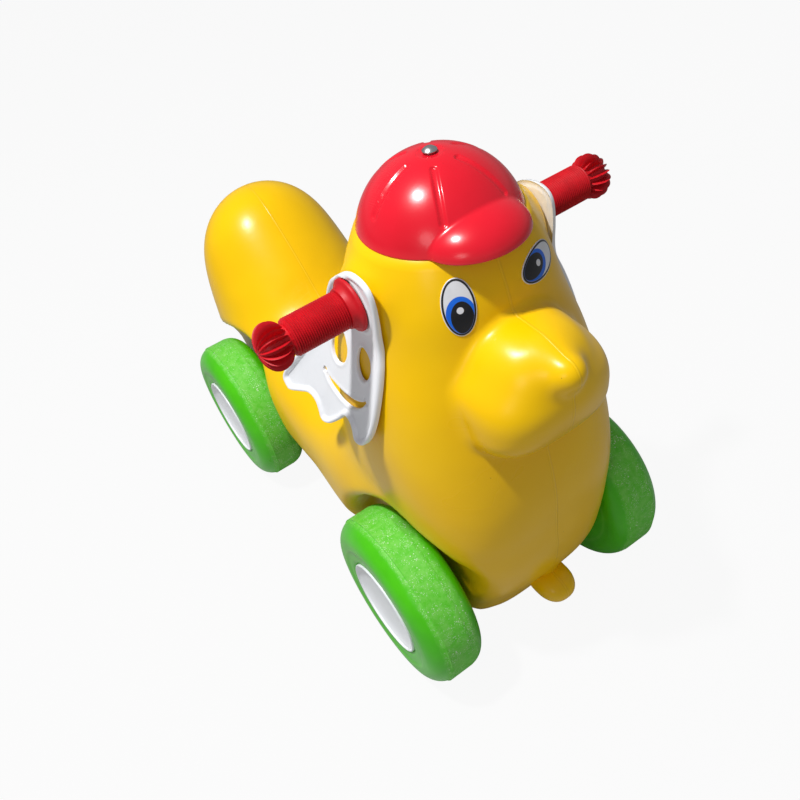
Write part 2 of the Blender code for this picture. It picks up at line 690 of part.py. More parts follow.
def make_running_gear(green, white, steel, dark):
    inner_face = (TRACK - WHEEL_WIDTH) / 2
    hub_face = inner_face - HUB_OVERHANG
    washer_radius, washer = WASHER
    flange_radius, flange = BUSH_FLANGE
    nut_radius, nut = PUSH_NUT
    shaft = AXLE_RADIUS + GAP
    bush_out = WELL_FACE + GAP
    nut_in = hub_face + HUB_LENGTH + GAP
    axle_end = nut_in + nut + MM
    bush = [(bush_out - BUSH_SLEEVE, shaft), (bush_out - BUSH_SLEEVE, BUSH_RADIUS), (bush_out, BUSH_RADIUS),
            (bush_out, flange_radius), (bush_out + flange, flange_radius), (bush_out + flange, shaft)]
    washer_in = bush_out + flange + GAP
    for row, y in AXLES.items():
        axle = turned(f"{row}_axle", rod_profile(AXLE_RADIUS, -axle_end, axle_end), AXLE_STEPS)
        add_object(f"{row}_axle", axle, steel, location=(0, y, WHEEL_RADIUS))
        for name, side in SIDES.items():
            def place(piece, outline, steps, material, offset=0.0):
                full = f"{piece}_{row}_{name}"
                closed = outline if outline[0][1] == 0 else outline + [outline[0]]
                shifted = mirrored(closed, side)
                spot = (side * offset, y, WHEEL_RADIUS)
                return add_object(full, turned(full, shifted, steps), material, location=spot)

            place("axle_bush", bush, AXLE_STEPS, white)
            ring = ring_profile(shaft, washer_radius, washer_in, washer_in + washer)
            place("washer", ring, AXLE_STEPS, steel)
            place("push_nut", ring_profile(shaft, nut_radius, nut_in, nut_in + nut), AXLE_STEPS, dark)
            wheel = place("wheel", wheel_outline(), TREAD_STEPS, green, inner_face)
            hollow_wheel(wheel, f"{row}_{name}", side, inner_face, y)
            place("hub_cap", hub_cap_outline(), TREAD_STEPS, white, inner_face)


SIDES = {"right": -1, "left": 1}  # the rider's right is -X
AXLES = {"front": AXLES_MIDDLE - WHEELBASE / 2, "rear": AXLES_MIDDLE + WHEELBASE / 2}
BUSH_RADIUS = AXLE_RADIUS + GAP + BUSH_WALL
# The well's wall leaves room for the bush's flange, the washer and the hub's overhang
WELL_FACE = (TRACK - WHEEL_WIDTH) / 2 - HUB_OVERHANG - WASHER[1] - BUSH_FLANGE[1] - 3 * GAP
EAR_FACE = BAR_BOSS[1] + GAP
BORE_RADIUS = BAR_RADIUS + GAP  # of whatever the handlebar passes through
CAP_TOP = tuple(on_form(np.add(CAP_CENTRE, (0, 0, CAP_RADIUS))))


def main():
    clear_scene()
    yellow = make_material("yellow_plastic", YELLOW, 0.38)
    red = make_material("red_plastic", RED, 0.3)
    soft_red = make_material("red_grip", RED, 0.5)
    green = make_material("green_plastic", GREEN, 0.4)
    white = make_material("white_plastic", WHITE, 0.3)
    steel = make_material("steel", STEEL, 0.3, 1.0)
    dark = make_material("dark_steel", DARK, 0.4, 1.0)
    body = make_body(yellow)
    make_cap(red, steel)
    make_eyes(body, white)
    make_handlebar(steel, soft_red)
    make_ears(white)
    make_running_gear(green, white, steel, dark)


main()
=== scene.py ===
# Ride-on puppy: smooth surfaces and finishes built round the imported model.
# Lengths in the shape functions are millimetres, and meshes are made in metres.
import bmesh
import bpy
import numpy as np
from math import cos, pi, radians, sin
from mathutils import Matrix, Vector
from mathutils.geometry import delaunay_2d_cdt


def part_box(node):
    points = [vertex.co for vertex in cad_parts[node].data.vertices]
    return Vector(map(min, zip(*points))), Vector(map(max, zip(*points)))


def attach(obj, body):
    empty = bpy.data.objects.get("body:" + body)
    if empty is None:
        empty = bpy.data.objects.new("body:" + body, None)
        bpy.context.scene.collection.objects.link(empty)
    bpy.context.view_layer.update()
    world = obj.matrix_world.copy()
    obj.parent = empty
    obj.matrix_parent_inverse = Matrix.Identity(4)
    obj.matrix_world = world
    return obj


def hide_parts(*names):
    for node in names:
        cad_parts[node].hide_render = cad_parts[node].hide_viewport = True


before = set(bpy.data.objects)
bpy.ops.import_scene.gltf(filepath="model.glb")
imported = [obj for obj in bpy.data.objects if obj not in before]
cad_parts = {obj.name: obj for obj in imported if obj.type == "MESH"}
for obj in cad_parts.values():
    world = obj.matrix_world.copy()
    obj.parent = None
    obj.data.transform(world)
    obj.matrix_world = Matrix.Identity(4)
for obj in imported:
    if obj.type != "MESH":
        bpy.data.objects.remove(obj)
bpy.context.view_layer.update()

mm = 0.001
sides = {"right": -1, "left": 1}
rows = ("front", "rear")


def centreOf(node):
    low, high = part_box(node)
    return np.array((low + high) / 2) / mm


axleY = {row: centreOf(f"wheel_{row}_right")[1] for row in rows}
wheelRadius = (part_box("wheel_front_right")[1][2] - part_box("wheel_front_right")[0][2]) / 2 / mm
formShift = np.array([0, (axleY["front"] + axleY["rear"]) / 2, 0])  # the form is drawn midway between the axles
barCentre = centreOf("handlebar_tube")
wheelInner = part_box("wheel_front_left")[0][0] / mm
print("frame read", axleY, wheelRadius)


# Meshes from grids

def addMesh(name, vertices, faces, uv=None):
    # Vertices in millimetres, faces as an array of triangles or quads, written in one go
    mesh = bpy.data.meshes.new(name)
    count, corners = faces.shape
    mesh.vertices.add(len(vertices))
    mesh.vertices.foreach_set("co", (np.asarray(vertices) * mm).astype(np.float32).ravel())
    mesh.loops.add(count * corners)
    mesh.loops.foreach_set("vertex_index", faces.astype(np.int32).ravel())
    mesh.polygons.add(count)
    mesh.polygons.foreach_set("loop_start", np.arange(0, count * corners, corners, dtype=np.int32))
    mesh.polygons.foreach_set("loop_total", np.full(count, corners, np.int32))
    mesh.update(calc_edges=True)
    if uv is not None:
        layer = mesh.uv_layers.new(name="flat")
        layer.data.foreach_set("uv", uv[faces.ravel()].astype(np.float32).ravel())
    obj = bpy.data.objects.new(name, mesh)
    bpy.context.scene.collection.objects.link(obj)
    return obj


def gridFaces(count, around, closedU, closedV):
    i = np.arange(count if closedU else count - 1)[:, None]
    j = np.arange(around if closedV else around - 1)[None, :]
    nextI, nextJ = (i + 1) % count, (j + 1) % around
    return np.stack([i * around + j, i * around + nextJ, nextI * around + nextJ, nextI * around + j],
                    -1).reshape(-1, 4)


def surface(name, grid, closedU=False, closedV=True, uv=None, sharp=None):
    # A grid of points (u, v, 3) becomes a skin; equal points merge, and faces turn outwards
    grid = np.asarray(grid, float)
    count, around = grid.shape[:2]
    faces = gridFaces(count, around, closedU, closedV)
    flatUv = None if uv is None else np.asarray(uv, float).reshape(-1, 2)
    return closeUp(addMesh(name, grid.reshape(-1, 3), faces, flatUv), sharp)


def closeUp(obj, sharp=None):
    # Equal points merge and faces turn outwards
    bm = bmesh.new()
    bm.from_mesh(obj.data)
    bmesh.ops.remove_doubles(bm, verts=bm.verts, dist=2e-7)
    bmesh.ops.dissolve_degenerate(bm, edges=bm.edges, dist=1e-8)
    bmesh.ops.recalc_face_normals(bm, faces=bm.faces)
    if bm.calc_volume(signed=True) < 0:
        bmesh.ops.reverse_faces(bm, faces=bm.faces)
    bm.to_mesh(obj.data)
    bm.free()
    obj.data.shade_smooth()
    if sharp:
        obj.data.set_sharp_from_angle(angle=radians(sharp))
    return obj


def turned(name, profile, centre, side=1, steps=96, sharp=40):
    # A closed profile of (along, radius) points turned round the X axis through centre
    along, radius = np.array(profile, float).T
    turn = np.linspace(0, 2 * pi, steps, endpoint=False)
    grid = np.stack([np.broadcast_to(side * along[:, None], (len(along), steps)),
                     radius[:, None] * np.sin(turn), radius[:, None] * np.cos(turn)], -1)
    closed = radius[0] > 0 or radius[-1] > 0
    return surface(name, grid + centre, closedU=closed, sharp=sharp)


def arc(centre, radii, start, end, steps):
    # Points on an ellipse's arc, angles in degrees from the axle's direction
    a = np.radians(np.linspace(start, end, steps + 1))
    return np.stack([centre[0] + radii[0] * np.cos(a), centre[1] + radii[1] * np.sin(a)], -1).tolist()


def finishPiece(obj, body, nodes, material):
    obj.data.materials.append(material)
    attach(obj, body)
    if nodes:
        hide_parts(*nodes)
    return obj


# Shader maths

class Value:
    # A shader socket that takes part in sums like a number
    def __init__(self, paint, socket):
        self.paint, self.socket = paint, socket

    def maths(self, operation, *others, clamp=False):
        settings = {"operation": operation, "use_clamp": clamp}
        return self.paint.node("ShaderNodeMath", settings, [self, *others])

    def __add__(self, other): return self.maths("ADD", other)
    def __radd__(self, other): return self.maths("ADD", other)
    def __mul__(self, other): return self.maths("MULTIPLY", other)
    def __rmul__(self, other): return self.maths("MULTIPLY", other)
    def __truediv__(self, other): return self.maths("DIVIDE", other)
    def __pow__(self, other): return self.maths("POWER", other)
    def __sub__(self, other): return self.maths("SUBTRACT", other)

    def __rsub__(self, other):
        return self.paint.node("ShaderNodeMath", {"operation": "SUBTRACT"}, [other, self])

    def clamped(self): return self.maths("ADD", 0.0, clamp=True)

    def smooth(self, low, high):
        # 0 below low, 1 above high, eased between; a falling step has low above high
        settings = {"interpolation_type": "SMOOTHSTEP"}
        if low <= high:
            return self.paint.node("ShaderNodeMapRange", settings, [self, low, high, 0.0, 1.0])
        return self.paint.node("ShaderNodeMapRange", settings, [self, high, low, 1.0, 0.0])


class Paint:
    # One Principled material and the nodes that feed it
    def __init__(self, name, **fixed):
        self.material = bpy.data.materials.new(name)
        self.material.use_nodes = True
        self.tree = self.material.node_tree
        self.shader = self.tree.nodes["Principled BSDF"]
        for socket, value in fixed.items():
            self.shader.inputs[socket.replace("_", " ")].default_value = value
        self.place = self.node("ShaderNodeTexCoord", {}, {}, "Object")

    def node(self, kind, settings, values, output=0):
        made = self.tree.nodes.new(kind)
        for key, value in settings.items():
            if key == "stops":
                ramp = made.color_ramp
                for stop, (place, colour) in zip(
                        [*ramp.elements] + [ramp.elements.new(0.5) for _ in value[2:]], value):
                    stop.position = place
                    stop.color = (*colour, 1)
            else:
                setattr(made, key, value)
        pairs = values.items() if isinstance(values, dict) else enumerate(values)
        for key, value in pairs:
            if isinstance(value, Value):
                self.tree.links.new(value.socket, made.inputs[key])
            elif value is not None:
                made.inputs[key].default_value = value
        return Value(self, made.outputs[output])

    def noise(self, scale, detail=2.0, rough=0.5, place=None, distortion=0.0):
        values = {"Vector": place or self.place, "Scale": scale, "Detail": detail, "Roughness": rough,
                  "Distortion": distortion}
        return self.node("ShaderNodeTexNoise", {}, values)

    def stretched(self, scale, turn=(0, 0, 0)):
        values = {"Vector": self.place, "Scale": scale, "Rotation": turn}
        return self.node("ShaderNodeMapping", {}, values)

    def cells(self, scale, place=None, feature="F1", randomness=1.0):
        values = {"Vector": place or self.place, "Scale": scale, "Randomness": randomness}
        return self.node("ShaderNodeTexVoronoi", {"feature": feature}, values, "Distance")

    def axis(self, which, place=None):
        return self.node("ShaderNodeSeparateXYZ", {}, [place or self.place], which)

    def mix(self, factor, first, second, blend="MIX"):
        # Colours, so the ends go to the colour sockets of the Mix node
        settings = {"data_type": "RGBA", "blend_type": blend}
        ends = [(*e, 1.0) if isinstance(e, tuple) else e for e in (first, second)]
        return self.node("ShaderNodeMix", settings, {0: factor, 6: ends[0], 7: ends[1]}, 2)

    def bump(self, height, distance, strength=1.0, under=None):
        values = {"Strength": strength, "Distance": distance, "Height": height}
        if under:
            values["Normal"] = under
        return self.node("ShaderNodeBump", {}, values)

    def feed(self, **links):
        for socket, value in links.items():
            self.tree.links.new(value.socket, self.shader.inputs[socket.replace("_", " ")])
        return self.material


def scratches(paint, scale, turn, thin=0.03, share=0.55):
    # Long thin lines: cells stretched along one way, kept only where a coarse noise allows
    lines = paint.cells(1.0, paint.stretched(scale, turn), "DISTANCE_TO_EDGE")
    patch = paint.noise(14.0, 1.0).smooth(share, share + 0.08)
    return lines.smooth(thin, thin * 0.3) * patch


yellowLook = {"base": (0.95, 0.575, 0.0), "deep": (0.86, 0.49, 0.0), "pale": (0.97, 0.66, 0.05)}
redLook = {"base": (0.74, 0.006, 0.022), "deep": (0.60, 0.002, 0.010), "pale": (0.82, 0.05, 0.06)}
gripLook = {"base": (0.62, 0.006, 0.014), "deep": (0.48, 0.003, 0.009), "pale": (0.72, 0.03, 0.04)}
greenLook = {"base": (0.075, 0.56, 0.004), "deep": (0.045, 0.40, 0.002), "pale": (0.24, 0.66, 0.12)}
whiteLook = {"base": (0.80, 0.82, 0.85), "deep": (0.66, 0.68, 0.72), "pale": (0.86, 0.87, 0.89)}


def bodyPaint():
    # Blow-moulded polyethylene: faint mottling, orange-peel skin, hairline scuffs and a few dark specks
    p = Paint("yellow_body", Roughness=0.36, Specular_IOR_Level=0.3)
    cloud = p.noise(9.0, 3.0, 0.55)
    colour = p.mix(cloud.smooth(0.35, 0.7), yellowLook["deep"], yellowLook["base"])
    colour = p.mix(0.45, colour, yellowLook["base"])
    hairline = scratches(p, (340, 5, 30), (0.3, 0.2, 0.5), 0.02, 0.60)
    hairline2 = scratches(p, (6, 380, 40), (0.2, -0.4, 0.9), 0.02, 0.62)
    scuff = (hairline + hairline2).clamped() * 0.6
    colour = p.mix(scuff * 0.35, colour, yellowLook["pale"])
    # The mould halves met along the middle plane and left a thin raised line; its paler colour is a painted highlight,
    # and the darker band on each side of it is painted shade
    across = p.axis("X") + (p.noise(20.0, 1.0) - 0.5) * 0.0004
    middle = (across * across) ** 0.5
    seam = middle.smooth(0.0008, 0.0003)
    seamShade = middle.smooth(0.0018, 0.0010) * middle.smooth(0.0005, 0.0009)
    # Painted highlight on the seam's ridge, then painted shade in the band beside it
    colour = p.mix(seam * 0.18, colour, yellowLook["pale"])
    colour = p.mix(seamShade * 0.15, colour, (0.50, 0.27, 0.0))
    specks = p.cells(150.0).smooth(0.07, 0.03) * p.noise(22.0, 1.0).smooth(0.62, 0.68)
    colour = p.mix(specks * 0.75, colour, (0.12, 0.07, 0.01))
    # Painted shade: the colour darkens in noisy patches low on the body, where the skin is also made rougher
    low = p.axis("Z").smooth(0.15, 0.05) * p.noise(30.0, 4.0, 0.6).smooth(0.45, 0.75)
    colour = p.mix(low * 0.28, colour, (0.52, 0.38, 0.12))
    rough = 0.24 + cloud * 0.10 + scuff * 0.22 + low * 0.15
    peel = p.noise(140.0, 2.0, 0.5)
    wave = p.noise(26.0, 1.0)
    normal = p.bump(peel, 0.0002, 0.35)
    normal = p.bump(wave, 0.0022, 0.22, normal)
    normal = p.bump(1 - scuff, 0.0002, 0.3, normal)
    normal = p.bump(seam, 0.0004, 0.45, normal)
    return p.feed(Base_Color=colour, Roughness=rough, Normal=normal)


def capPaint():
    # Injection-moulded gloss red with handling haze and fine circular scuffs
    p = Paint("red_cap", Roughness=0.22, Specular_IOR_Level=0.45, Coat_Weight=0.15, Coat_Roughness=0.12)
    cloud = p.noise(16.0, 3.0, 0.6)
    colour = p.mix(cloud.smooth(0.3, 0.75) * 0.5, redLook["base"], redLook["deep"])
    line = scratches(p, (420, 8, 40), (0.5, 0.7, 0.1), 0.02, 0.60)
    line2 = scratches(p, (8, 400, 60), (0.9, 0.2, 0.4), 0.02, 0.62)
    scuff = (line + line2).clamped() * 0.5
    colour = p.mix(scuff * 0.30, colour, redLook["pale"])
    # Painted highlight: the band round the cap's lower rim is made paler red all round
    rim = p.axis("Z").smooth(0.408, 0.4005)
    colour = p.mix(rim * 0.35, colour, redLook["pale"])
    rough = 0.20 + cloud * 0.10 + scuff * 0.25
    normal = p.bump(p.noise(170.0, 2.0), 0.00015, 0.3)
    normal = p.bump(1 - scuff, 0.0002, 0.35, normal)
    return p.feed(Base_Color=colour, Roughness=rough, Normal=normal)


def gripPaint():
    # Soft vinyl: dull skin, paler where rubbed
    p = Paint("red_grip", Roughness=0.48, Specular_IOR_Level=0.35)
    cloud = p.noise(60.0, 4.0, 0.6)
    colour = p.mix(cloud.smooth(0.3, 0.7), gripLook["base"], gripLook["deep"])
    rub = p.noise(35.0, 3.0).smooth(0.55, 0.75)
    colour = p.mix(rub * 0.3, colour, gripLook["pale"])
    normal = p.bump(p.noise(700.0, 2.0), 0.0001, 0.5)
    return p.feed(Base_Color=colour, Roughness=0.40 + cloud * 0.18 + rub * 0.08, Normal=normal)


def wheelPaint(row, side):
    # Shoulders stay glossy; the tread is frosted by the ground, with white nicks that grow towards its edges
    name = f"green_wheel_{row}_{side}"
    p = Paint(name, Roughness=0.3, Specular_IOR_Level=0.35)
    y = p.axis("Y") - axleY[row] * mm
    z = p.axis("Z") - wheelRadius * mm
    radius = (y * y + z * z) ** 0.5
    worn = p.noise(160.0, 6.0, 0.75)
    edge = radius + (worn - 0.5) * 0.0022
    tread = edge.smooth((wheelRadius - 3.2) * mm, (wheelRadius - 0.9) * mm)
    cloud = p.noise(24.0, 3.0, 0.6)
    colour = p.mix(cloud.smooth(0.3, 0.75) * 0.5, greenLook["base"], greenLook["deep"])
    frost = p.mix(worn.smooth(0.3, 0.7), (0.10, 0.56, 0.02), greenLook["pale"])
    colour = p.mix(tread * 0.7, colour, frost)
    nick = p.cells(420.0).smooth(0.26, 0.12) * p.noise(75.0, 2.0).smooth(0.54, 0.62)
    grit = p.cells(800.0).smooth(0.34, 0.18) * p.noise(120.0, 2.0).smooth(0.42, 0.56)
    white = (nick + grit * 0.6).clamped() * tread
    colour = p.mix(white * 0.8, colour, (0.80, 0.86, 0.74))
    dirt = p.noise(45.0, 5.0, 0.7).smooth(0.60, 0.78) * tread
    colour = p.mix(dirt * 0.30, colour, (0.07, 0.16, 0.02))
    # A faint pale ring where the mould halves met the side face
    ring = radius.smooth(0.0555, 0.0562) * radius.smooth(0.0592, 0.0580)
    colour = p.mix(ring * 0.20, colour, greenLook["pale"])
    rough = 0.24 + cloud * 0.10 + tread * 0.30
    normal = p.bump(worn * tread + p.noise(300.0, 3.0) * tread, 0.0005, 0.30)
    normal = p.bump(p.noise(120.0, 2.0), 0.0002, 0.25, normal)
    return p.feed(Base_Color=colour, Roughness=rough, Normal=normal)


def whitePaint(name, scuffed=0.4):
    # White polypropylene, very slightly grey in soft random clouds, with grime specks and hairlines
    p = Paint(name, Roughness=0.3, Specular_IOR_Level=0.5)
    cloud = p.noise(20.0, 4.0, 0.6)
    colour = p.mix(cloud.smooth(0.35, 0.75) * 0.6, whiteLook["pale"], whiteLook["base"])
    line = scratches(p, (40, 320, 26), (0.2, 0.6, 0.3), 0.03, 0.55)
    colour = p.mix(line * 0.3 * scuffed, colour, whiteLook["deep"])
    speck = p.cells(170.0).smooth(0.09, 0.03) * p.noise(30.0, 1.0).smooth(0.60, 0.66)
    colour = p.mix(speck * 0.6, colour, (0.22, 0.21, 0.19))
    grime = p.noise(55.0, 5.0, 0.65).smooth(0.62, 0.80)
    colour = p.mix(grime * 0.16, colour, (0.50, 0.49, 0.46))
    normal = p.bump(p.noise(220.0, 2.0), 0.00015, 0.3)
    normal = p.bump(1 - line, 0.0001, 0.3, normal)
    return p.feed(Base_Color=colour, Roughness=0.26 + cloud * 0.12 + grime * 0.15, Normal=normal)


def steelPaint(name, tone, rough, turn=(0, 0, 0)):
    # Zinc plate: brushed along one way, cloudy, with a little grey bloom
    p = Paint(name, Metallic=1.0, Roughness=rough)
    brushed = p.noise(1.0, 3.0, 0.6, p.stretched((60, 900, 900), turn))
    bloom = p.noise(160.0, 4.0, 0.65)
    colour = p.mix(bloom.smooth(0.4, 0.7), (tone, tone, tone * 0.98), (tone * 0.62, tone * 0.62, tone * 0.60))
    normal = p.bump(brushed, 0.0001, 0.25)
    return p.feed(Base_Color=colour, Roughness=rough + bloom * 0.2, Normal=normal)


def eyePaint():
    # Rings and ovals in the sticker's own flat coordinates, -1 to 1 across and up
    p = Paint("eye_print", Roughness=0.2, Specular_IOR_Level=0.55, Coat_Weight=0.3, Coat_Roughness=0.08)
    flat = p.node("ShaderNodeUVMap", {"uv_map": "flat"}, {})
    u, v = p.axis("X", flat), p.axis("Y", flat)

    def oval(centre, radii, soft=0.02):
        a, b = (u - centre[0]) / radii[0], (v - centre[1]) / radii[1]
        return ((a * a + b * b) ** 0.5).smooth(1 + soft, 1 - soft)

    inside = oval((0, 0), (0.95, 0.97))
    white = oval((0, 0), (0.83, 0.895))
    iris = oval((0.05, -0.27), (0.86, 0.64)) * white
    pupil = oval((0.10, -0.36), (0.66, 0.56)) * white
    glint = oval((0.03, -0.10), (0.20, 0.115), 0.06)
    fade = p.noise(90.0, 3.0, 0.6)
    paper = p.mix(fade.smooth(0.35, 0.7), (0.78, 0.79, 0.82), (0.70, 0.71, 0.74))
    blue = p.mix(fade.smooth(0.3, 0.7), (0.003, 0.15, 0.80), (0.002, 0.12, 0.70))
    ink = (0.006, 0.006, 0.008)
    colour = p.mix(inside, (0.80, 0.80, 0.82), ink)
    colour = p.mix(white, colour, paper)
    colour = p.mix(iris, colour, blue)
    colour = p.mix(pupil, colour, ink)
    colour = p.mix(glint, colour, (0.74, 0.75, 0.80))
    line = scratches(p, (700, 60, 90), (0.4, 0.3, 0.6), 0.05, 0.50)
    colour = p.mix(line * 0.35, colour, (0.55, 0.50, 0.42))
    return p.feed(Base_Color=colour, Roughness=0.18 + fade * 0.12 + line * 0.3,
                  Normal=p.bump(1 - line, 0.0001, 0.3))


# Form of the body

body = {
    # upright part, chest to crown: height, half width, front, back, squareness of its plan
    "column": np.array([
        (40, 74, -204, -30, 3.4), (90, 82, -222, -20, 3.4), (130, 83, -233, -26, 3.5),
        (165, 87, -240, -34, 3.5), (200, 91, -242, -42, 3.2), (260, 91, -233, -55, 2.8),
        (300, 84, -222, -62, 2.8), (340, 73, -212, -68, 2.6), (370, 66, -206, -74, 2.4),
        (401, 56, -195, -86, 2.1), (425, 43, -183, -97, 2.0), (447, 10, -150, -130, 2.0)], float),
    "crown": 446, "belly": 40,
    "torso": ((0, 10, 126.5), (96, 225, 61.5), 2.7),
    "rump": ((0, 188, 156), (84, 84, 84), 2.0),
    "hump": ((0, 225, 226), (64, 52, 60), 2.0),
    "snout": ((0, -210, 298), (53, 49, 33), 2.5, 3.3),
    "bridge": ((0, -213, 321.5), (37.5, 46, 33.5), 2.5),
    "nose": ((0, -240, 335), (0, -257, 336), 17, 12.5),
    "lug": ((0, -228, 82), (12, 21, 10), 2.0),
    "knob": ((0, -229, 83.5), (16.5, 22.0, 12.5), 2.4),
    "boss": (71.2, 30, 21),  # its end along the bar, radius at the head and at the ear
    "well": {"inner": 64.7, "radius": 92, "corner": 14, "lip": 12},
    "capSeat": ((0, -140.2, 386.3), 54.1, 400.6),
    "rings": 250, "around": 216,
}


def blendMin(a, b, width):
    h = np.maximum(width - abs(a - b), 0) / width
    return np.minimum(a, b) - h * h * width / 4


def lump(p, centre, radii, power):
    # Rounded block |x/a|^n + |y/b|^n + |z/c|^n = 1, as a rough distance
    q = p - centre
    k = (abs(q / radii) ** power).sum(-1) ** (1 / power)
    return np.linalg.norm(q, axis=-1) * (1 - 1 / np.maximum(k, 1e-3))


def pillow(p, centre, radii, power, endPower):
    # A rounded block with one squareness in the middle plane and another towards its ends
    across, along, up = np.moveaxis(abs((p - centre) / radii), -1, 0)
    k = (across**endPower + (along**power + up**power) ** (endPower / power)) ** (1 / endPower)
    return np.linalg.norm(p - centre, axis=-1) * (1 - 1 / np.maximum(k, 1e-3))


def tapered(p, start, end, startRadius, endRadius):
    # Distance to a line whose radius runs from one end's to the other's
    start, axis = np.array(start, float), np.subtract(end, start).astype(float)
    t = np.clip((p - start) @ axis / (axis @ axis), 0, 1)
    return np.linalg.norm(p - start - t[..., None] * axis, axis=-1) - startRadius - t * (
        endRadius - startRadius)


def disc(p, y, z, radius, low, high, corner):
    # Cylinder about X between |x| = low and high, with round edges
    across = np.hypot(p[..., 1] - y, p[..., 2] - z) - (radius - corner)
    along = abs(abs(p[..., 0]) - (low + high) / 2) - ((high - low) / 2 - corner)
    return np.hypot(np.maximum(across, 0), np.maximum(along, 0)) + np.minimum(
        np.maximum(across, along), 0) - corner


def column(p):
    # Plan |x/half|^n + |y/depth|^n = 1, whose sizes follow a smooth curve up the height
    stations = body["column"]
    height = stations[:, 0]
    slopes = np.gradient(stations[:, 1:], height, axis=0)
    z = np.clip(p[..., 2], height[0], height[-1])
    i = np.clip(np.searchsorted(height, z, side="right") - 1, 0, len(height) - 2)
    step = height[i + 1] - height[i]
    t = ((z - height[i]) / step)[..., None]
    step = step[..., None]
    low, high = stations[i, 1:], stations[i + 1, 1:]
    sizes = (low + (high - low) * t * t * (3 - 2 * t)
             + step * t * (1 - t) * ((1 - t) * slopes[i] - t * slopes[i + 1]))
    half, front, back, power = np.moveaxis(sizes, -1, 0)
    across, along = abs(p[..., 0]), abs(p[..., 1] - (front + back) / 2)
    k = ((across / half) ** power + (2 * along / (back - front)) ** power) ** (1 / power)
    side = 0.9 * np.hypot(across, along) * (1 - 1 / np.maximum(k, 0.2))
    side = -blendMin(-side, p[..., 2] - body["belly"], 20)
    return -blendMin(-side, body["crown"] - p[..., 2], 10)


def plainForm(p):
    # The body without wells: upright part, trunk, snout, nose and lug run into each other
    trunk = blendMin(lump(p, *body["torso"]), lump(p, *body["rump"]), 50)
    trunk = blendMin(trunk, lump(p, *body["hump"]), 60)
    face = blendMin(pillow(p, *body["snout"]), lump(p, *body["bridge"]), 22)
    face = blendMin(face, tapered(p, *body["nose"]), 9)
    shape = blendMin(blendMin(column(p), trunk, 52), face, 6)
    return blendMin(shape, lump(p, *body["lug"]), 6)


def fullForm(p):
    # The plain form with the handlebar bosses and the wheel wells, less what the cap covers
    shape = plainForm(p)
    bar = barCentre - formShift
    high, wide, narrow = body["boss"]
    reach = np.clip((abs(p[..., 0]) - 50) / (high - 50), 0, 1)
    radius = np.hypot(p[..., 1] - bar[1], p[..., 2] - bar[2]) - wide + (wide - narrow) * reach
    boss = np.maximum(radius, abs(p[..., 0]) - high)
    shape = blendMin(shape, boss, 14)
    # The head stops short of the ears' plates
    clear = high + 0.3 * np.maximum(radius + wide - (wide - narrow) * reach - 24, 0) - abs(p[..., 0])
    shape = -blendMin(-shape, clear, 3)
    well = body["well"]
    for row in rows:
        y = axleY[row] - formShift[1]
        cut = disc(p, y, wheelRadius, well["radius"], well["inner"], 200, well["corner"])
        shape = -blendMin(-shape, cut, well["lip"])
    seatCentre, seatRadius, seatFloor = body["capSeat"]
    keep = np.minimum(p[..., 2] - seatFloor, np.linalg.norm(p - seatCentre, axis=-1) - seatRadius)
    return np.maximum(shape, keep)


def slopeOf(form, p, step=0.4):
    moved = np.stack([form(p + step * axis) for axis in np.eye(3)], -1)
    here = form(p)
    slope = (moved - here[..., None]) / step
    return here, slope / np.maximum(np.linalg.norm(slope, axis=-1, keepdims=True), 1e-6)


def firstExit(form, origin, direction, reach, stride):
    # Marches each ray out of the form, then halves the last stride
    near = np.zeros(direction.shape[:-1])
    far = np.full_like(near, float(reach))
    found = np.zeros(near.shape, bool)
    for t in np.arange(stride, reach, stride):
        waiting = ~found
        outside = np.zeros_like(found)
        outside[waiting] = form(origin[waiting] + t * direction[waiting]) > 0
        near[outside], far[outside] = t - stride, t
        found |= outside
    for _ in range(14):
        middle = (near + far) / 2
        inside = form(origin + middle[..., None] * direction) < 0
        near, far = np.where(inside, middle, near), np.where(inside, far, middle)
    return origin + near[..., None] * direction


spine = {"level": 118, "rearBend": (105, 127, 65), "frontBend": (10, 150), "top": 386}


def spineAt(u):
    # Rays' origin, outward and end directions along the spine: tail fan, rear bend, level run, front bend,
    # upright run and crown fan, for u from 0 to 6
    bendY, bendRadius, sweep = spine["rearBend"]
    frontY, frontRadius = spine["frontBend"]
    level, top = spine["level"], spine["top"]
    part = np.clip(u[:, None] - np.arange(6), 0, 1)
    rear = np.radians(sweep) * (1 - part[:, 1])
    front = pi / 2 * part[:, 3]
    y = bendY + bendRadius * np.sin(rear) + (frontY - bendY) * part[:, 2] - frontRadius * np.sin(front)
    z = (level + bendRadius * (1 - np.cos(rear)) + frontRadius * (1 - np.cos(front))
         + (top - level - frontRadius) * part[:, 4])
    lean = rear - front  # of the outward direction from straight down
    out = np.stack([0 * y, np.sin(lean), -np.cos(lean)], -1)
    backEnd = np.stack([0 * y, np.cos(lean), np.sin(lean)], -1)
    lift = pi / 2 * np.where(u < 1, 1 - part[:, 0], part[:, 5])
    end = np.where((u < 1)[:, None], backEnd, np.array([0, 0, 1.0]))
    return np.stack([0 * y, y, z], -1), out, end, lift


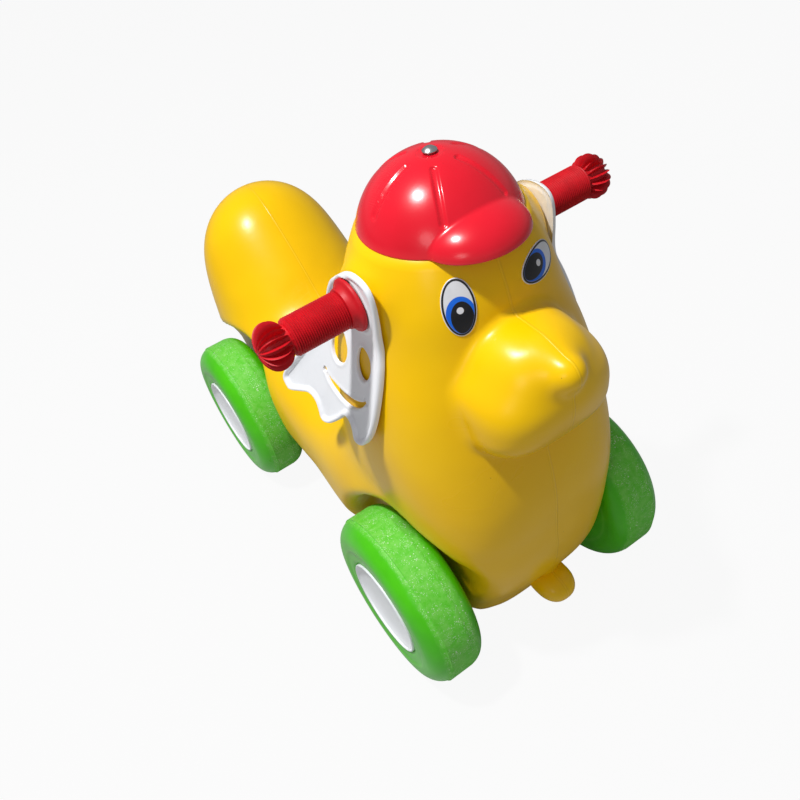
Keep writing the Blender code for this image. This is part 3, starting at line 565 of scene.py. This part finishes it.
def bodyGrid():
    # P(u, v) = spine(u) + t (cos lift (cos v out + sin v across) + sin lift end), t where the ray leaves the form;
    # the points are then drawn onto the full form and spread evenly by small slides along it
    weights = np.array([1.3, 1.3, 1.0, 2.0, 2.9, 1.0])
    marks = np.concatenate([[0], np.cumsum(weights)]) / weights.sum()
    u = np.interp(np.linspace(0.004, 0.996, body["rings"]), marks, np.arange(7))
    place, out, end, lift = (a[:, None] for a in spineAt(u))
    even = np.linspace(-pi, pi, body["around"], endpoint=False)
    focus = 0.15 + 0.30 * np.clip(-out[..., 1], 0, 1)
    turn = even - focus * np.sin(even)
    across = np.array([1.0, 0, 0])
    fan = np.cos(turn)[..., None] * out + np.sin(turn)[..., None] * across
    lift = lift[..., None]
    direction = np.cos(lift) * fan + np.sin(lift) * end
    origin = np.broadcast_to(place, direction.shape).copy()
    points = firstExit(plainForm, origin, direction, 280, 7)
    # Under the arches the skin is pushed straight in along X
    inward = np.sign(points[..., 0])
    for _ in range(60):
        value = fullForm(points)
        flank = (value > 0.3) & (abs(points[..., 0]) > 60) & (points[..., 2] < 200)
        points[..., 0] -= np.where(flank, inward * np.minimum(value, 3.0), 0)
    for _ in range(14):
        middle = (np.roll(points, 1, 1) + np.roll(points, -1, 1)) / 2
        middle[1:-1] = (middle[1:-1] + (points[:-2] + points[2:]) / 2) / 2
        value, normal = slopeOf(fullForm, points)
        slide = middle - points
        slide -= (slide * normal).sum(-1, keepdims=True) * normal
        points = points + 0.55 * slide - np.clip(value, -4, 4)[..., None] * normal
    for _ in range(3):
        value, normal = slopeOf(fullForm, points)
        points = points - np.clip(value, -2, 2)[..., None] * normal
    first = np.broadcast_to(points[0].mean(0), points[0].shape)
    last = np.broadcast_to(points[-1].mean(0), points[0].shape)
    return np.concatenate([first[None], points, last[None]])


def addKnob(shell):
    # The lug's round end, a rounded block |x/a|^n + |y/b|^n + |z/c|^n = 1 sunk into the skin's own small lug
    centre, radii, power = body["knob"]
    polar = np.linspace(0, pi, 41)[:, None]
    turn = np.linspace(0, 2 * pi, 72, endpoint=False)
    ray = np.stack([np.sin(polar) * np.cos(turn), np.cos(polar) + 0 * turn, np.sin(polar) * np.sin(turn)], -1)
    reach = (abs(ray / radii) ** power).sum(-1, keepdims=True) ** (-1 / power)
    end = surface("lug_end", centre + formShift + ray * reach)
    joined = bmesh.new()
    joined.from_mesh(shell.data)
    joined.from_mesh(end.data)
    joined.to_mesh(shell.data)
    joined.free()
    bpy.data.meshes.remove(end.data)


def makeBody(paint):
    grid = bodyGrid() + formShift
    shell = surface("puppy_body", grid)
    addKnob(shell)
    finishPiece(shell, "root", ["body_shell"], paint)
    print("body made", len(shell.data.polygons))


# Cap and its screw

cap = {"centre": (0, -140.2, 386.3), "radius": 57.0, "rim": 401.0, "wall": 2.4,
       "visorCentre": (0, -178, 400), "visorRadii": (37, 33, 21), "crease": 1.4,
       "eye": (0, -160, 401),  # where the grid's rays start
       "grooves": 6, "grooveDepth": 1.2, "grooveWidth": 2.1, "grooveSpan": (19, 55), "dimple": 7.5, "dimpleDepth": 1.2,
       "rings": 130, "around": 300}


def capForm(p, inset=0.0):
    # Dome and visor as one, with grooves that run down the dome from near the screw
    centre = np.array(cap["centre"])
    q = p - centre
    dome = np.linalg.norm(q, axis=-1) - cap["radius"] + inset
    bearing = np.arctan2(q[..., 0], -q[..., 1])
    polar = np.degrees(np.arctan2(np.hypot(q[..., 0], q[..., 1]), q[..., 2]))
    if not inset:
        spacing = 2 * pi / cap["grooves"]
        offset = bearing % spacing - spacing / 2
        across = abs(offset) * np.hypot(q[..., 0], q[..., 1])
        top, bottom = cap["grooveSpan"]
        along = np.maximum(abs(polar - (top + bottom) / 2) - (bottom - top) / 2, 0)
        gap = np.hypot(across, along)
        dome = dome + cap["grooveDepth"] * np.exp(-(gap / cap["grooveWidth"]) ** 4)
        flat = np.hypot(q[..., 0], q[..., 1]) / cap["dimple"]
        dome = dome + cap["dimpleDepth"] * np.exp(-flat ** 4)
    radii = np.array(cap["visorRadii"]) - inset
    visor = lump(p, cap["visorCentre"], radii, 2.0)
    return blendMin(dome, visor, cap["crease"])


def makeCap(paint):
    # Rays from a point inside both dome and visor, from the crown down to the rim, outside then back up inside
    turn = np.linspace(0, 2 * pi, cap["around"], endpoint=False)
    height = pi / 2 * (1 - np.linspace(0, 1, cap["rings"]) ** 0.9)[:, None]
    direction = np.stack([np.cos(height) * np.sin(turn), -np.cos(height) * np.cos(turn),
                          np.sin(height) + 0 * turn], -1)
    origin = np.broadcast_to(np.array(cap["eye"], float), direction.shape).copy()
    outer = firstExit(capForm, origin, direction, 90, 4)
    inner = firstExit(lambda p: capForm(p, cap["wall"]), origin, direction, 90, 4)
    lip = outer[-1:] * 0.5 + inner[-1:] * 0.5 - (0, 0, 0.5)
    grid = np.concatenate([outer, lip, inner[::-1]]) + formShift
    finishPiece(surface("cap_shell", grid), "root", ["cap"], paint)


def makeScrew(paint):
    low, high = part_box("cap_screw")
    top = high[2] / mm
    centre = np.array([0, (low[1] + high[1]) / 2 / mm, 0])
    radius = (high[0] - low[0]) / 2 / mm
    turn = np.linspace(0, 2 * pi, 72, endpoint=False)
    share = np.concatenate([np.linspace(0, 1, 26), [1.0, 0.98, 0.45, 0.4, 0.4, 0]])
    level = np.concatenate([top - 2.3 * np.linspace(0, 1, 26) ** 2.4, [top - 2.6, top - 2.8, top - 2.8,
                                                                      top - 3.2, top - 15, top - 15.5]])
    flat = np.stack([share[:, None] * radius * np.sin(turn), share[:, None] * radius * np.cos(turn)], -1)
    z = np.broadcast_to(level[:, None], flat.shape[:2])
    grid = np.concatenate([flat, z[..., None]], -1) + centre
    finishPiece(surface("cap_screw_head", grid, sharp=45), "root", ["cap_screw"], paint)


# Eye stickers

eye = {"right": ((33, -200, 373), 0), "left": ((31, -200, 374), 86),  # place and turn in degrees
       "half": (11, 18.8), "lift": 0.25, "thick": 0.35}


def makeEyes(paint):
    # Concentric ovals dropped along the face's normal onto the form, with a rounded edge
    for name, side in sides.items():
        place, lean = eye[name]
        centre = np.array(place, float) * (side, 1, 1)
        normal = slopeOf(plainForm, centre[None])[1][0]
        up = np.array([0, 0, 1.0]) - normal * normal[2]
        up /= np.linalg.norm(up)
        across = np.cross(up, normal)
        lean = radians(lean)
        up, across = up * cos(lean) + side * across * sin(lean), across * cos(lean) - side * up * sin(lean)
        turn = np.linspace(0, 2 * pi, 96, endpoint=False)
        share = np.concatenate([np.linspace(0, 0.97, 22), [0.985, 1.0, 1.0]])
        rise = np.concatenate([np.full(22, 1.0), [0.85, 0.4, -1.5]])
        a = share[:, None] * np.cos(turn)
        b = share[:, None] * np.sin(turn)
        flat = centre + (a * eye["half"][0])[..., None] * across + (b * eye["half"][1])[..., None] * up
        origin = flat - 30 * normal
        direction = np.broadcast_to(normal, origin.shape).copy()
        skin = firstExit(plainForm, origin, direction, 60, 3)
        out = slopeOf(plainForm, skin)[1]
        top = skin + (eye["lift"] + eye["thick"] * rise)[:, None, None] * out
        under = skin[-1:] * 0 + (skin - 0.2 * out).mean((0, 1))
        grid = np.concatenate([top, np.broadcast_to(under, top[:1].shape)]) + formShift
        uv = np.stack([-side * a, b], -1)
        uv = np.concatenate([uv, uv[:1]])
        obj = surface(f"eye_print_{name}", grid, uv=uv)
        finishPiece(obj, "root", [f"eye_sticker_{name}"], paint)


# Handlebar, grips and ears

grip = {"start": 77.5, "sleeve": 13.4, "ribs": 24, "ribDepth": 1.15,
        "ribStart": 83, "ribEnd": 121.5, "ballCentre": 133.3, "ballHalf": 11.0, "ballRadius": 16.6,
        "core": 11.2, "fins": 17, "bore": 9.9, "tubeEnd": 133.2}


def makeGrips(paint):
    # Sleeve: radius(x) with fine ribs and two moulding seams; ball: a core with thin fins along its meridians
    g = grip
    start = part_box("grip_left")[0][0] / mm
    shift = start - g["start"]
    phase = np.array([0, 0.09, 0.15, 0.20, 0.26, 0.36, 0.5, 0.64, 0.74, 0.80, 0.85, 0.91])
    turn = ((np.arange(g["fins"])[:, None] + phase[None]) / g["fins"] * 2 * pi).ravel()
    inFin = (abs((turn * g["fins"] / (2 * pi) + 0.5) % 1 - 0.5) < 0.17).astype(float)
    soft = np.clip(1.35 - abs((turn * g["fins"] / (2 * pi) + 0.5) % 1 - 0.5) / 0.15, 0, 1)
    ribs = np.linspace(g["ribStart"], g["ribEnd"], g["ribs"] * 8 + 1)
    wave = 0.5 + 0.5 * np.cos((ribs - g["ribStart"]) / (g["ribEnd"] - g["ribStart"]) * 2 * pi * g["ribs"])
    sleeve = np.stack([ribs, g["sleeve"] - g["ribDepth"] * wave], -1)
    f = g["start"]
    flange = [(f - 3.3, g["bore"]), (f - 3.3, 16.5), (f - 3.1, 18.0), (f - 2.5, 18.8), (f - 0.9, 18.8), (f - 0.2, 18.3),
              (f + 0.3, 17.0), (f + 1.2, 15.8), (f + 2.8, 14.8), (f + 5.0, 14.0)]
    plain = np.concatenate([np.array(flange), sleeve, [(122.0, 12.7), (122.6, 12.2)]])
    polar = np.linspace(pi * 0.86, 0, 44)
    ballX = g["ballCentre"] + g["ballHalf"] * np.cos(polar)
    full = g["ballRadius"] * np.sin(polar) ** 0.75
    hollow = np.minimum(full, g["core"] * np.sin(polar) ** 0.9)
    # Towards both ends of the ball the fins run out into the core
    tall = full - hollow
    ball = hollow[:, None] + tall[:, None] * soft[None] * (0.4 + 0.6 * inFin[None])
    skin = np.broadcast_to(plain[:, 1:], (len(plain), len(turn)))
    seam = sum(0.35 * np.exp(-(((turn - at + pi) % (2 * pi) - pi) / 0.05) ** 2) for at in (0.9, 0.9 + pi))
    onSleeve = ((plain[:, 0] > f + 1) & (plain[:, 1] > 10.5))[:, None]
    skin = skin + np.where(onSleeve, seam[None], 0)
    radius = np.concatenate([skin, ball, np.full((3, len(turn)), 0.0)])
    radius[-3:] = np.array([0.0, g["bore"], g["bore"]])[:, None]
    along = np.concatenate([plain[:, 0], ballX, [g["tubeEnd"] + 1.2, g["tubeEnd"] + 1.2, f - 3.3]])
    radius[len(plain) + len(ballX) - 1] = 0.0
    grid = np.stack([np.broadcast_to(along[:, None] + shift, radius.shape), radius * np.sin(turn),
                     radius * np.cos(turn)], -1)
    for name, side in sides.items():
        mirrored = grid * (side, 1, 1) + (0, barCentre[1], barCentre[2])
        obj = surface(f"ribbed_grip_{name}", mirrored, sharp=50)
        finishPiece(obj, "root", [f"grip_{name}"], paint)


def makeTube(paint):
    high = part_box("handlebar_tube")[1][0] / mm
    profile = [(-high, 8.0), (-high, 9.1), (-high + 0.4, 9.5), (high - 0.4, 9.5), (high, 9.1), (high, 8.0)]
    tube = turned("steel_tube", profile, (0, barCentre[1], barCentre[2]), steps=64)
    finishPiece(tube, "root", ["handlebar_tube"], paint)


ear = {
    # outline back from and below the bar's axis
    "outline": np.array([
        (13.9, -15.9), (3.8, -22.5), (-6.4, -26.1), (-15.6, -26.6), (-22.7, -24.6), (-27.3, -19.5),
        (-28.9, -10.3), (-28.4, 1.9), (-26.9, 15.2), (-26.9, 28), (-28.4, 39.3), (-29.1, 51.7),
        (-28.8, 65.2), (-27.5, 78.8), (-24.6, 90.3), (-19.8, 99.2), (-14.6, 103.9), (-8.5, 104.9),
        (-4.5, 102.8), (-1.6, 97.6), (3.4, 93.4), (9.5, 93.9), (16.8, 101.2), (27.7, 110.6), (34.9, 112.7),
        (39.5, 110.3), (42.3, 105.4), (46.9, 99.5), (54.4, 97.4), (64.9, 100.9), (77.3, 105.3),
        (83.3, 102.9), (87.4, 98), (86.3, 91.4), (78.5, 80.5), (59.9, 54.3), (47.2, 32.5), (37.4, 12.9),
        (32.5, 2.3), (25.6, -7.2)], float),
    "eyes": (((-6, 45), (9.2, 11.6), 0.1), ((24.5, 47), (9.8, 12.4), -0.1)),
    "smile": ((13.5, 46), 36, 44, 139, 3.3),  # centre, radius, first and last angle, half width in the middle
    "dot": 2.4, "bar": (3.0, 0.8),  # the slot's round end, and half sizes of the small bar at its other end
    "thick": 2.2, "rim": 4.4, "rimHeight": (1.3, 2.8), "collar": 20.5, "bore": 9.9, "flat": 26, "lean": 0.34,
    "yaw": 0.17, "face": 71.5, "pleat": 1.2, "spacing": 1.25,
}


def closedCurve(points, each):
    # Catmull-Rom curve through a ring of points
    before, after, later = np.roll(points, 1, 0), np.roll(points, -1, 0), np.roll(points, -2, 0)
    t = (np.arange(each) / each)[None, :, None]
    p, a, b, c = before[:, None], points[:, None], after[:, None], later[:, None]
    curve = a + t * (b - p) / 2 + t**2 * (p - 2.5 * a + 2 * b - c / 2) + t**3 * (1.5 * (a - b) + (c - p) / 2)
    return curve.reshape(-1, 2)


def ramp(distance, softness=4):
    return (np.hypot(distance - ear["flat"], softness) + distance - ear["flat"]) / 2


def ovalRing(centre, radii, turn=0.0, count=56):
    t = np.linspace(0, 2 * pi, count, endpoint=False)
    a, b = radii[0] * np.cos(t), radii[1] * np.sin(t)
    return np.stack([a * cos(turn) - b * sin(turn), a * sin(turn) + b * cos(turn)], -1) + centre


def ringGap(points, ring):
    # Distance to a closed ring of points, negative inside it
    start, step = ring, np.roll(ring, -1, 0) - ring
    q = points[:, None] - start
    t = np.clip((q * step).sum(-1) / (step * step).sum(-1), 0, 1)
    away = np.linalg.norm(q - t[..., None] * step, axis=-1).min(1)
    above = points[:, None, 1] < start[:, 1]
    crosses = above != (points[:, None, 1] < np.roll(start, -1, 0)[:, 1])
    slope = np.where(step[:, 1] == 0, 1, step[:, 1])
    reach = start[:, 0] + (points[:, None, 1] - start[:, 1]) * step[:, 0] / slope
    inside = (crosses & (points[:, None, 0] < reach)).sum(1) % 2 == 1
    return np.where(inside, -away, away)


def earHoles():
    # Bore, two ovals, and the smile: a crescent that fades to its ends, a dot at one and a bar at the other
    centre, radius, first, last, width = ear["smile"]
    share = np.linspace(0, 1, 44)
    a = np.radians(first + (last - first) * share)
    half = (0.7 + width * np.sin(pi * share) ** 0.9)[:, None]
    ray = np.stack([np.cos(a), np.sin(a)], -1)
    crescent = np.concatenate([(radius + half) * ray, ((radius - half) * ray)[::-1]]) + centre
    dot = ovalRing(np.array(centre) + radius * ray[0], (ear["dot"], ear["dot"]), count=28)
    long, short = ear["bar"]
    middle, along = np.array(centre) + radius * ray[-1], np.array([-ray[-1][1], ray[-1][0]])
    corners = [(long, short), (-long, short), (-long, -short), (long, -short)]
    bar = np.array([middle + u * ray[-1] + v * along for u, v in corners])
    bore = ovalRing((0, 0), (ear["bore"], ear["bore"]), count=72)
    return [bore, *(ovalRing(*e) for e in ear["eyes"]), dot, crescent, bar]


def earSheet():
    # A flat mesh: an even grid, rows that follow every edge, and the edges themselves, joined by triangles
    outline = closedCurve(ear["outline"], 8)
    holes = earHoles()
    low, high = outline.min(0), outline.max(0)
    step = ear["spacing"]
    u, v = np.meshgrid(np.arange(low[0], high[0], step), np.arange(low[1], high[1], step * 0.87))
    u = u + step / 2 * (np.arange(len(u)) % 2)[:, None]
    loose = [np.stack([u.ravel(), v.ravel()], -1)]
    for ring, offsets, way in [(outline, (0.35, 0.8, 1.5, 2.4, 3.3, 4.0, 4.7), -1)] + [
            (h, (0.4, 0.9, 1.6, 2.4), 1) for h in holes]:
        ahead = np.roll(ring, -1, 0) - np.roll(ring, 1, 0)
        out = np.stack([ahead[:, 1], -ahead[:, 0]], -1) / np.linalg.norm(ahead, axis=1, keepdims=True)
        out *= np.sign((out * (ring - ring.mean(0))).sum())
        for offset in offsets:
            moved = ring + way * offset * out
            loose.append(moved[abs(abs(ringGap(moved, ring)) - offset) < 0.08])
    nearEdge = ear["rim"] + 0.8
    loose = [l if k else l[(-ringGap(l, outline) > nearEdge)] for k, l in enumerate(loose)]
    points = np.concatenate(loose)
    clear = -ringGap(points, outline) > 0.3
    for h in holes:
        clear &= ringGap(points, h) > 0.35
    points = points[clear]
    rings, edges, start = [outline, *holes], [], len(points)
    for ring in rings:
        index = start + np.arange(len(ring))
        edges += list(zip(index.tolist(), np.roll(index, -1).tolist()))
        start += len(ring)
    everything = np.concatenate([points, *rings])
    made = delaunay_2d_cdt([Vector(q) for q in everything], edges, [], 0, 1e-5)
    flat = np.array([tuple(q) for q in made[0]])
    triangles = np.array([t for t in made[2] if len(t) == 3])
    middle = flat[triangles].mean(1)
    keep = ringGap(middle, outline) < 0
    for h in holes:
        keep &= ringGap(middle, h) > 0
    return flat, triangles[keep], outline, holes


def makeEars(paint):
    # height(back, down) = lean + pleats, with a rounded cord along the rim, lips round the holes and a collar
    flat, triangles, outline, holes = earSheet()
    back, down = flat.T
    depth = -ringGap(flat, outline)
    radius = np.hypot(back, down)
    base = ear["lean"] * ramp(down) + ear["yaw"] * ramp(back)
    bearing = np.arctan2(back + 4, down + 6)
    fade = np.clip((radius - 25) / 14, 0, 1) * np.clip((depth - 3.5) / 4, 0, 1)
    fold = abs((bearing / radians(30) + 0.2) % 1 - 0.5) * 2
    plate = base + ear["pleat"] * (fold - 0.5) * fade
    topHeight, lowHeight = ear["rimHeight"]
    height = topHeight + (lowHeight - topHeight) * np.clip((down + 5) / 45, 0, 1)
    share = np.clip(depth / ear["rim"], 0, 1)
    rim = height * np.sin(share * pi) ** 0.75
    lips = sum(0.4 * np.exp(-((ringGap(flat, h) - 1.3) / 1.0) ** 2) for h in holes[1:3] + holes[4:5])
    collar = 0.9 * np.exp(-((radius - ear["collar"]) / 1.1) ** 2)
    edge = np.minimum([abs(ringGap(flat, h)) for h in holes], 9).min(0)
    worn = 0.35 * np.clip(1 - edge / 0.4, 0, 1)
    outer = plate + ear["thick"] + rim + lips + collar - worn
    outer = np.where(depth < 0.02, plate + 1.0, outer)
    inner = plate + 0.35 * rim
    start = ear["face"]
    count = len(flat)
    edges = np.concatenate([triangles[:, [0, 1]], triangles[:, [1, 2]], triangles[:, [2, 0]]])
    _, first, times = np.unique(np.sort(edges, 1), axis=0, return_index=True, return_counts=True)
    a, b = edges[first[times == 1]].T
    walls = np.concatenate([np.stack([b, a, a + count], -1), np.stack([b, a + count, b + count], -1)])
    faces = np.concatenate([triangles, triangles[:, ::-1] + count, walls])
    used = np.unique(faces)
    renumber = np.zeros(2 * count, int)
    renumber[used] = np.arange(len(used))
    bar = (0, barCentre[1], barCentre[2])
    for name, side in sides.items():
        sheets = [np.stack([side * (start + h), back, -down], -1) for h in (outer, inner)]
        vertices = (np.concatenate(sheets) + bar)[used]
        obj = closeUp(addMesh(f"puppy_ear_{name}", vertices, renumber[faces]), 50)
        finishPiece(obj, f"ear_{name}", [f"ear_{name}"], paint)


# Wheels and running gear

wheel = {"width": 52.1, "shoulderIn": 17.0, "shoulderOut": 19.0, "treadStep": 0.15, "hubEnd": 34.6,
         "hub": 13.0, "bore": 4.3, "capRoom": 43.5}


def wheelProfile():
    # From the hub's inner end out over the inner face, shoulder, tread, outer shoulder and side face to the hub
    w, r = wheel, wheelRadius
    profile = [(-4.6, w["bore"]), (-4.6, w["hub"] - 0.6), (-4.0, w["hub"]), (7.0, w["hub"] + 0.4), (8.2, w["hub"] + 2)]
    profile += [(8.2, 41.0), (7.4, 43.0), (1.2, 44.4), (0.3, 45.2)]
    inner, outer = w["shoulderIn"], w["shoulderOut"]
    out = w["width"] - outer
    step = w["treadStep"]
    profile += arc((inner, r - inner - step), (inner, inner), 180, 93, 18)
    low = inner + inner * cos(radians(93)) + 0.3
    high = out + outer * cos(radians(74)) - 0.3
    profile += [(x, r) for x in np.linspace(low, high, 9)]
    profile += arc((out, r - outer - step), (outer, outer), 74, 8, 16)
    face = [(0.0, 58.2), (-0.1, 57.0), (-0.7, 56.0), (-0.8, 50.0), (-0.9, 46.6), (-1.4, 45.2), (-2.6, 44.2),
            (-5, w["capRoom"])]
    profile += [(w["width"] + x, radius) for x, radius in face]
    profile += [(30.0, w["capRoom"]), (30.0, w["hub"] + 1), (30.8, w["hub"]), (w["hubEnd"], w["hub"]),
                (w["hubEnd"], w["bore"])]
    return profile


hubProfile = [(30.4, 43.1), (50.8, 43.1), (51.6, 42.9), (52.0, 42.4), (51.9, 41.9), (51.4, 41.5), (50.2, 41.1),
              (48.9, 38.5), (47.9, 35.0), (47.1, 30.0), (46.5, 24.0), (46.1, 16.0), (45.9, 8.0), (45.8, 0.0),
              (43.8, 0.0), (43.9, 8.0), (44.1, 16.0), (44.5, 24.0), (45.1, 30.0), (45.9, 35.0), (46.9, 38.5),
              (47.6, 40.8), (46.8, 41.3), (30.4, 41.3)]


def makeWheels(white, steel, dark):
    innerFace = wheelInner + 4.6
    for row in rows:
        for name, side in sides.items():
            centre = np.array([side * innerFace, axleY[row], wheelRadius])
            ring = turned(f"tyre_{row}_{name}", wheelProfile(), centre, side, 160, 38)
            finishPiece(ring, f"wheel_{row}_{name}", [f"wheel_{row}_{name}"], wheelPaint(row, name))
            cover = turned(f"hub_dish_{row}_{name}", hubProfile, centre, side, 128, 38)
            finishPiece(cover, f"wheel_{row}_{name}", [f"hub_cap_{row}_{name}"], white)
            makeHardware(row, name, side, white, steel, dark)
    for row in rows:
        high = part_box(f"{row}_axle")[1][0] / mm
        profile = [(-high, 0), (-high, 3.4), (-high + 0.6, 4.0), (high - 0.6, 4.0), (high, 3.4), (high, 0)]
        rod = turned(f"{row}_rod", profile, (0, axleY[row], wheelRadius), steps=40)
        finishPiece(rod, "root", [f"{row}_axle"], steel)


def makeHardware(row, name, side, white, steel, dark):
    # Bush, washer and push nut: small turned rings with broken edges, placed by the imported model
    def between(node):
        low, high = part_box(node)
        ends = sorted((abs(low[0]) / mm, abs(high[0]) / mm))
        return ends[0], ends[1]

    centre = (0, axleY[row], wheelRadius)
    a, b = between(f"axle_bush_{row}_{name}")
    profile = [(a, 4.3), (a, 6.7), (a + 0.4, 7.1), (b - 2, 7.1), (b - 2, 10.5), (b - 1.6, 11), (b - 0.4, 11), (b, 10.5),
               (b, 4.3)]
    finishPiece(turned(f"bush_{row}_{name}", profile, centre, side, 48), "root",
                [f"axle_bush_{row}_{name}"], white)
    a, b = between(f"washer_{row}_{name}")
    profile = [(a, 4.3), (a, 8.7), (a + 0.3, 9), (b - 0.3, 9), (b, 8.7), (b, 4.3)]
    finishPiece(turned(f"plain_washer_{row}_{name}", profile, centre, side, 48), "root",
                [f"washer_{row}_{name}"], steel)
    a, b = between(f"push_nut_{row}_{name}")
    profile = [(a, 4.2), (a, 8), (a + 0.8, 8), (a + 1.2, 6.6), (b - 0.4, 5.9), (b, 5.2), (b, 4.2)]
    finishPiece(turned(f"cap_nut_{row}_{name}", profile, centre, side, 48), "root",
                [f"push_nut_{row}_{name}"], dark)


# Camera, floor and light

camera = {"azimuth": -25.3, "elevation": 42.7, "roll": -13.0, "distance": 0.7867, "target": (0.0072, -0.0039, 0.1306),
          "lens": 35.6}


def makeCamera():
    az, el, roll = (radians(camera[k]) for k in ("azimuth", "elevation", "roll"))
    back = Vector((sin(az) * cos(el), -cos(az) * cos(el), sin(el)))
    level = Vector((cos(az), sin(az), 0))
    upright = back.cross(level)
    right = level * cos(roll) + upright * sin(roll)
    up = upright * cos(roll) - level * sin(roll)
    data = bpy.data.cameras.new("camera")
    data.lens = camera["lens"]
    data.sensor_width = 36
    data.clip_start, data.clip_end = 0.01, 50
    obj = bpy.data.objects.new("camera", data)
    place = Vector(camera["target"]) + Vector(formShift * mm) + back * camera["distance"]
    obj.matrix_world = Matrix.Translation(place) @ Matrix((right, up, back)).transposed().to_4x4()
    bpy.context.scene.collection.objects.link(obj)
    bpy.context.scene.camera = obj


def makeStage():
    mesh = bpy.data.meshes.new("floor")
    reach = 12
    mesh.from_pydata([(-reach, -reach, 0), (reach, -reach, 0), (reach, reach, 0), (-reach, reach, 0)], [],
                     [(0, 1, 2, 3)])
    floor = bpy.data.objects.new("floor", mesh)
    bpy.context.scene.collection.objects.link(floor)
    p = Paint("pale_floor", Roughness=0.9, Specular_IOR_Level=0.1)
    tone = p.noise(6.0, 2.0)
    mesh.materials.append(p.feed(Base_Color=p.mix(tone * 0.1, (0.45, 0.45, 0.45), (0.41, 0.41, 0.41))))
    # Seen straight from the camera the floor is mostly plain white, with a trace of the shadows left
    seen = p.node("ShaderNodeLightPath", {}, {}, "Is Camera Ray") * 0.93
    glow = p.node("ShaderNodeEmission", {}, {"Color": (1, 1, 1, 1), "Strength": 1.0})
    shown = p.node("ShaderNodeMixShader", {}, [seen, Value(p, p.shader.outputs[0]), glow])
    p.tree.links.new(shown.socket, p.tree.nodes["Material Output"].inputs["Surface"])
    world = bpy.data.worlds.new("studio")
    world.use_nodes = True
    tree = world.node_tree
    sky = tree.nodes["Background"]
    sky.inputs["Color"].default_value = (0.92, 0.95, 1.0, 1)
    sky.inputs["Strength"].default_value = 0.30
    bpy.context.scene.world = world
    lamp("key", (-0.60, -0.02, 1.94), (0, -0.05, 0.25), 0.13, 33)
    lamp("fill", (-1.4, -1.2, 1.1), (0, -0.1, 0.2), 0.6, 3.0)


def lamp(name, place, aim, size, power):
    data = bpy.data.lights.new(name, "AREA")
    data.shape = "DISK"
    data.size = size
    data.energy = power
    obj = bpy.data.objects.new(name, data)
    obj.location = place
    obj.rotation_mode = "QUATERNION"
    obj.rotation_quaternion = (Vector(aim) - Vector(place)).to_track_quat("-Z", "Y")
    bpy.context.scene.collection.objects.link(obj)


makeCamera()
makeStage()
bpy.context.scene.view_settings.view_transform = "Standard"
whitePlastic = whitePaint("white_plastic")
brightSteel = steelPaint("bright_steel", 0.62, 0.22)
darkSteel = steelPaint("dark_steel", 0.30, 0.35)
makeBody(bodyPaint())
makeCap(capPaint())
makeScrew(brightSteel)
makeEyes(eyePaint())
print("head made")
makeTube(brightSteel)
makeGrips(gripPaint())
makeEars(whitePaint("white_ear", 0.7))
print("handlebar made")
makeWheels(whitePlastic, brightSteel, darkSteel)
print("wheels made")
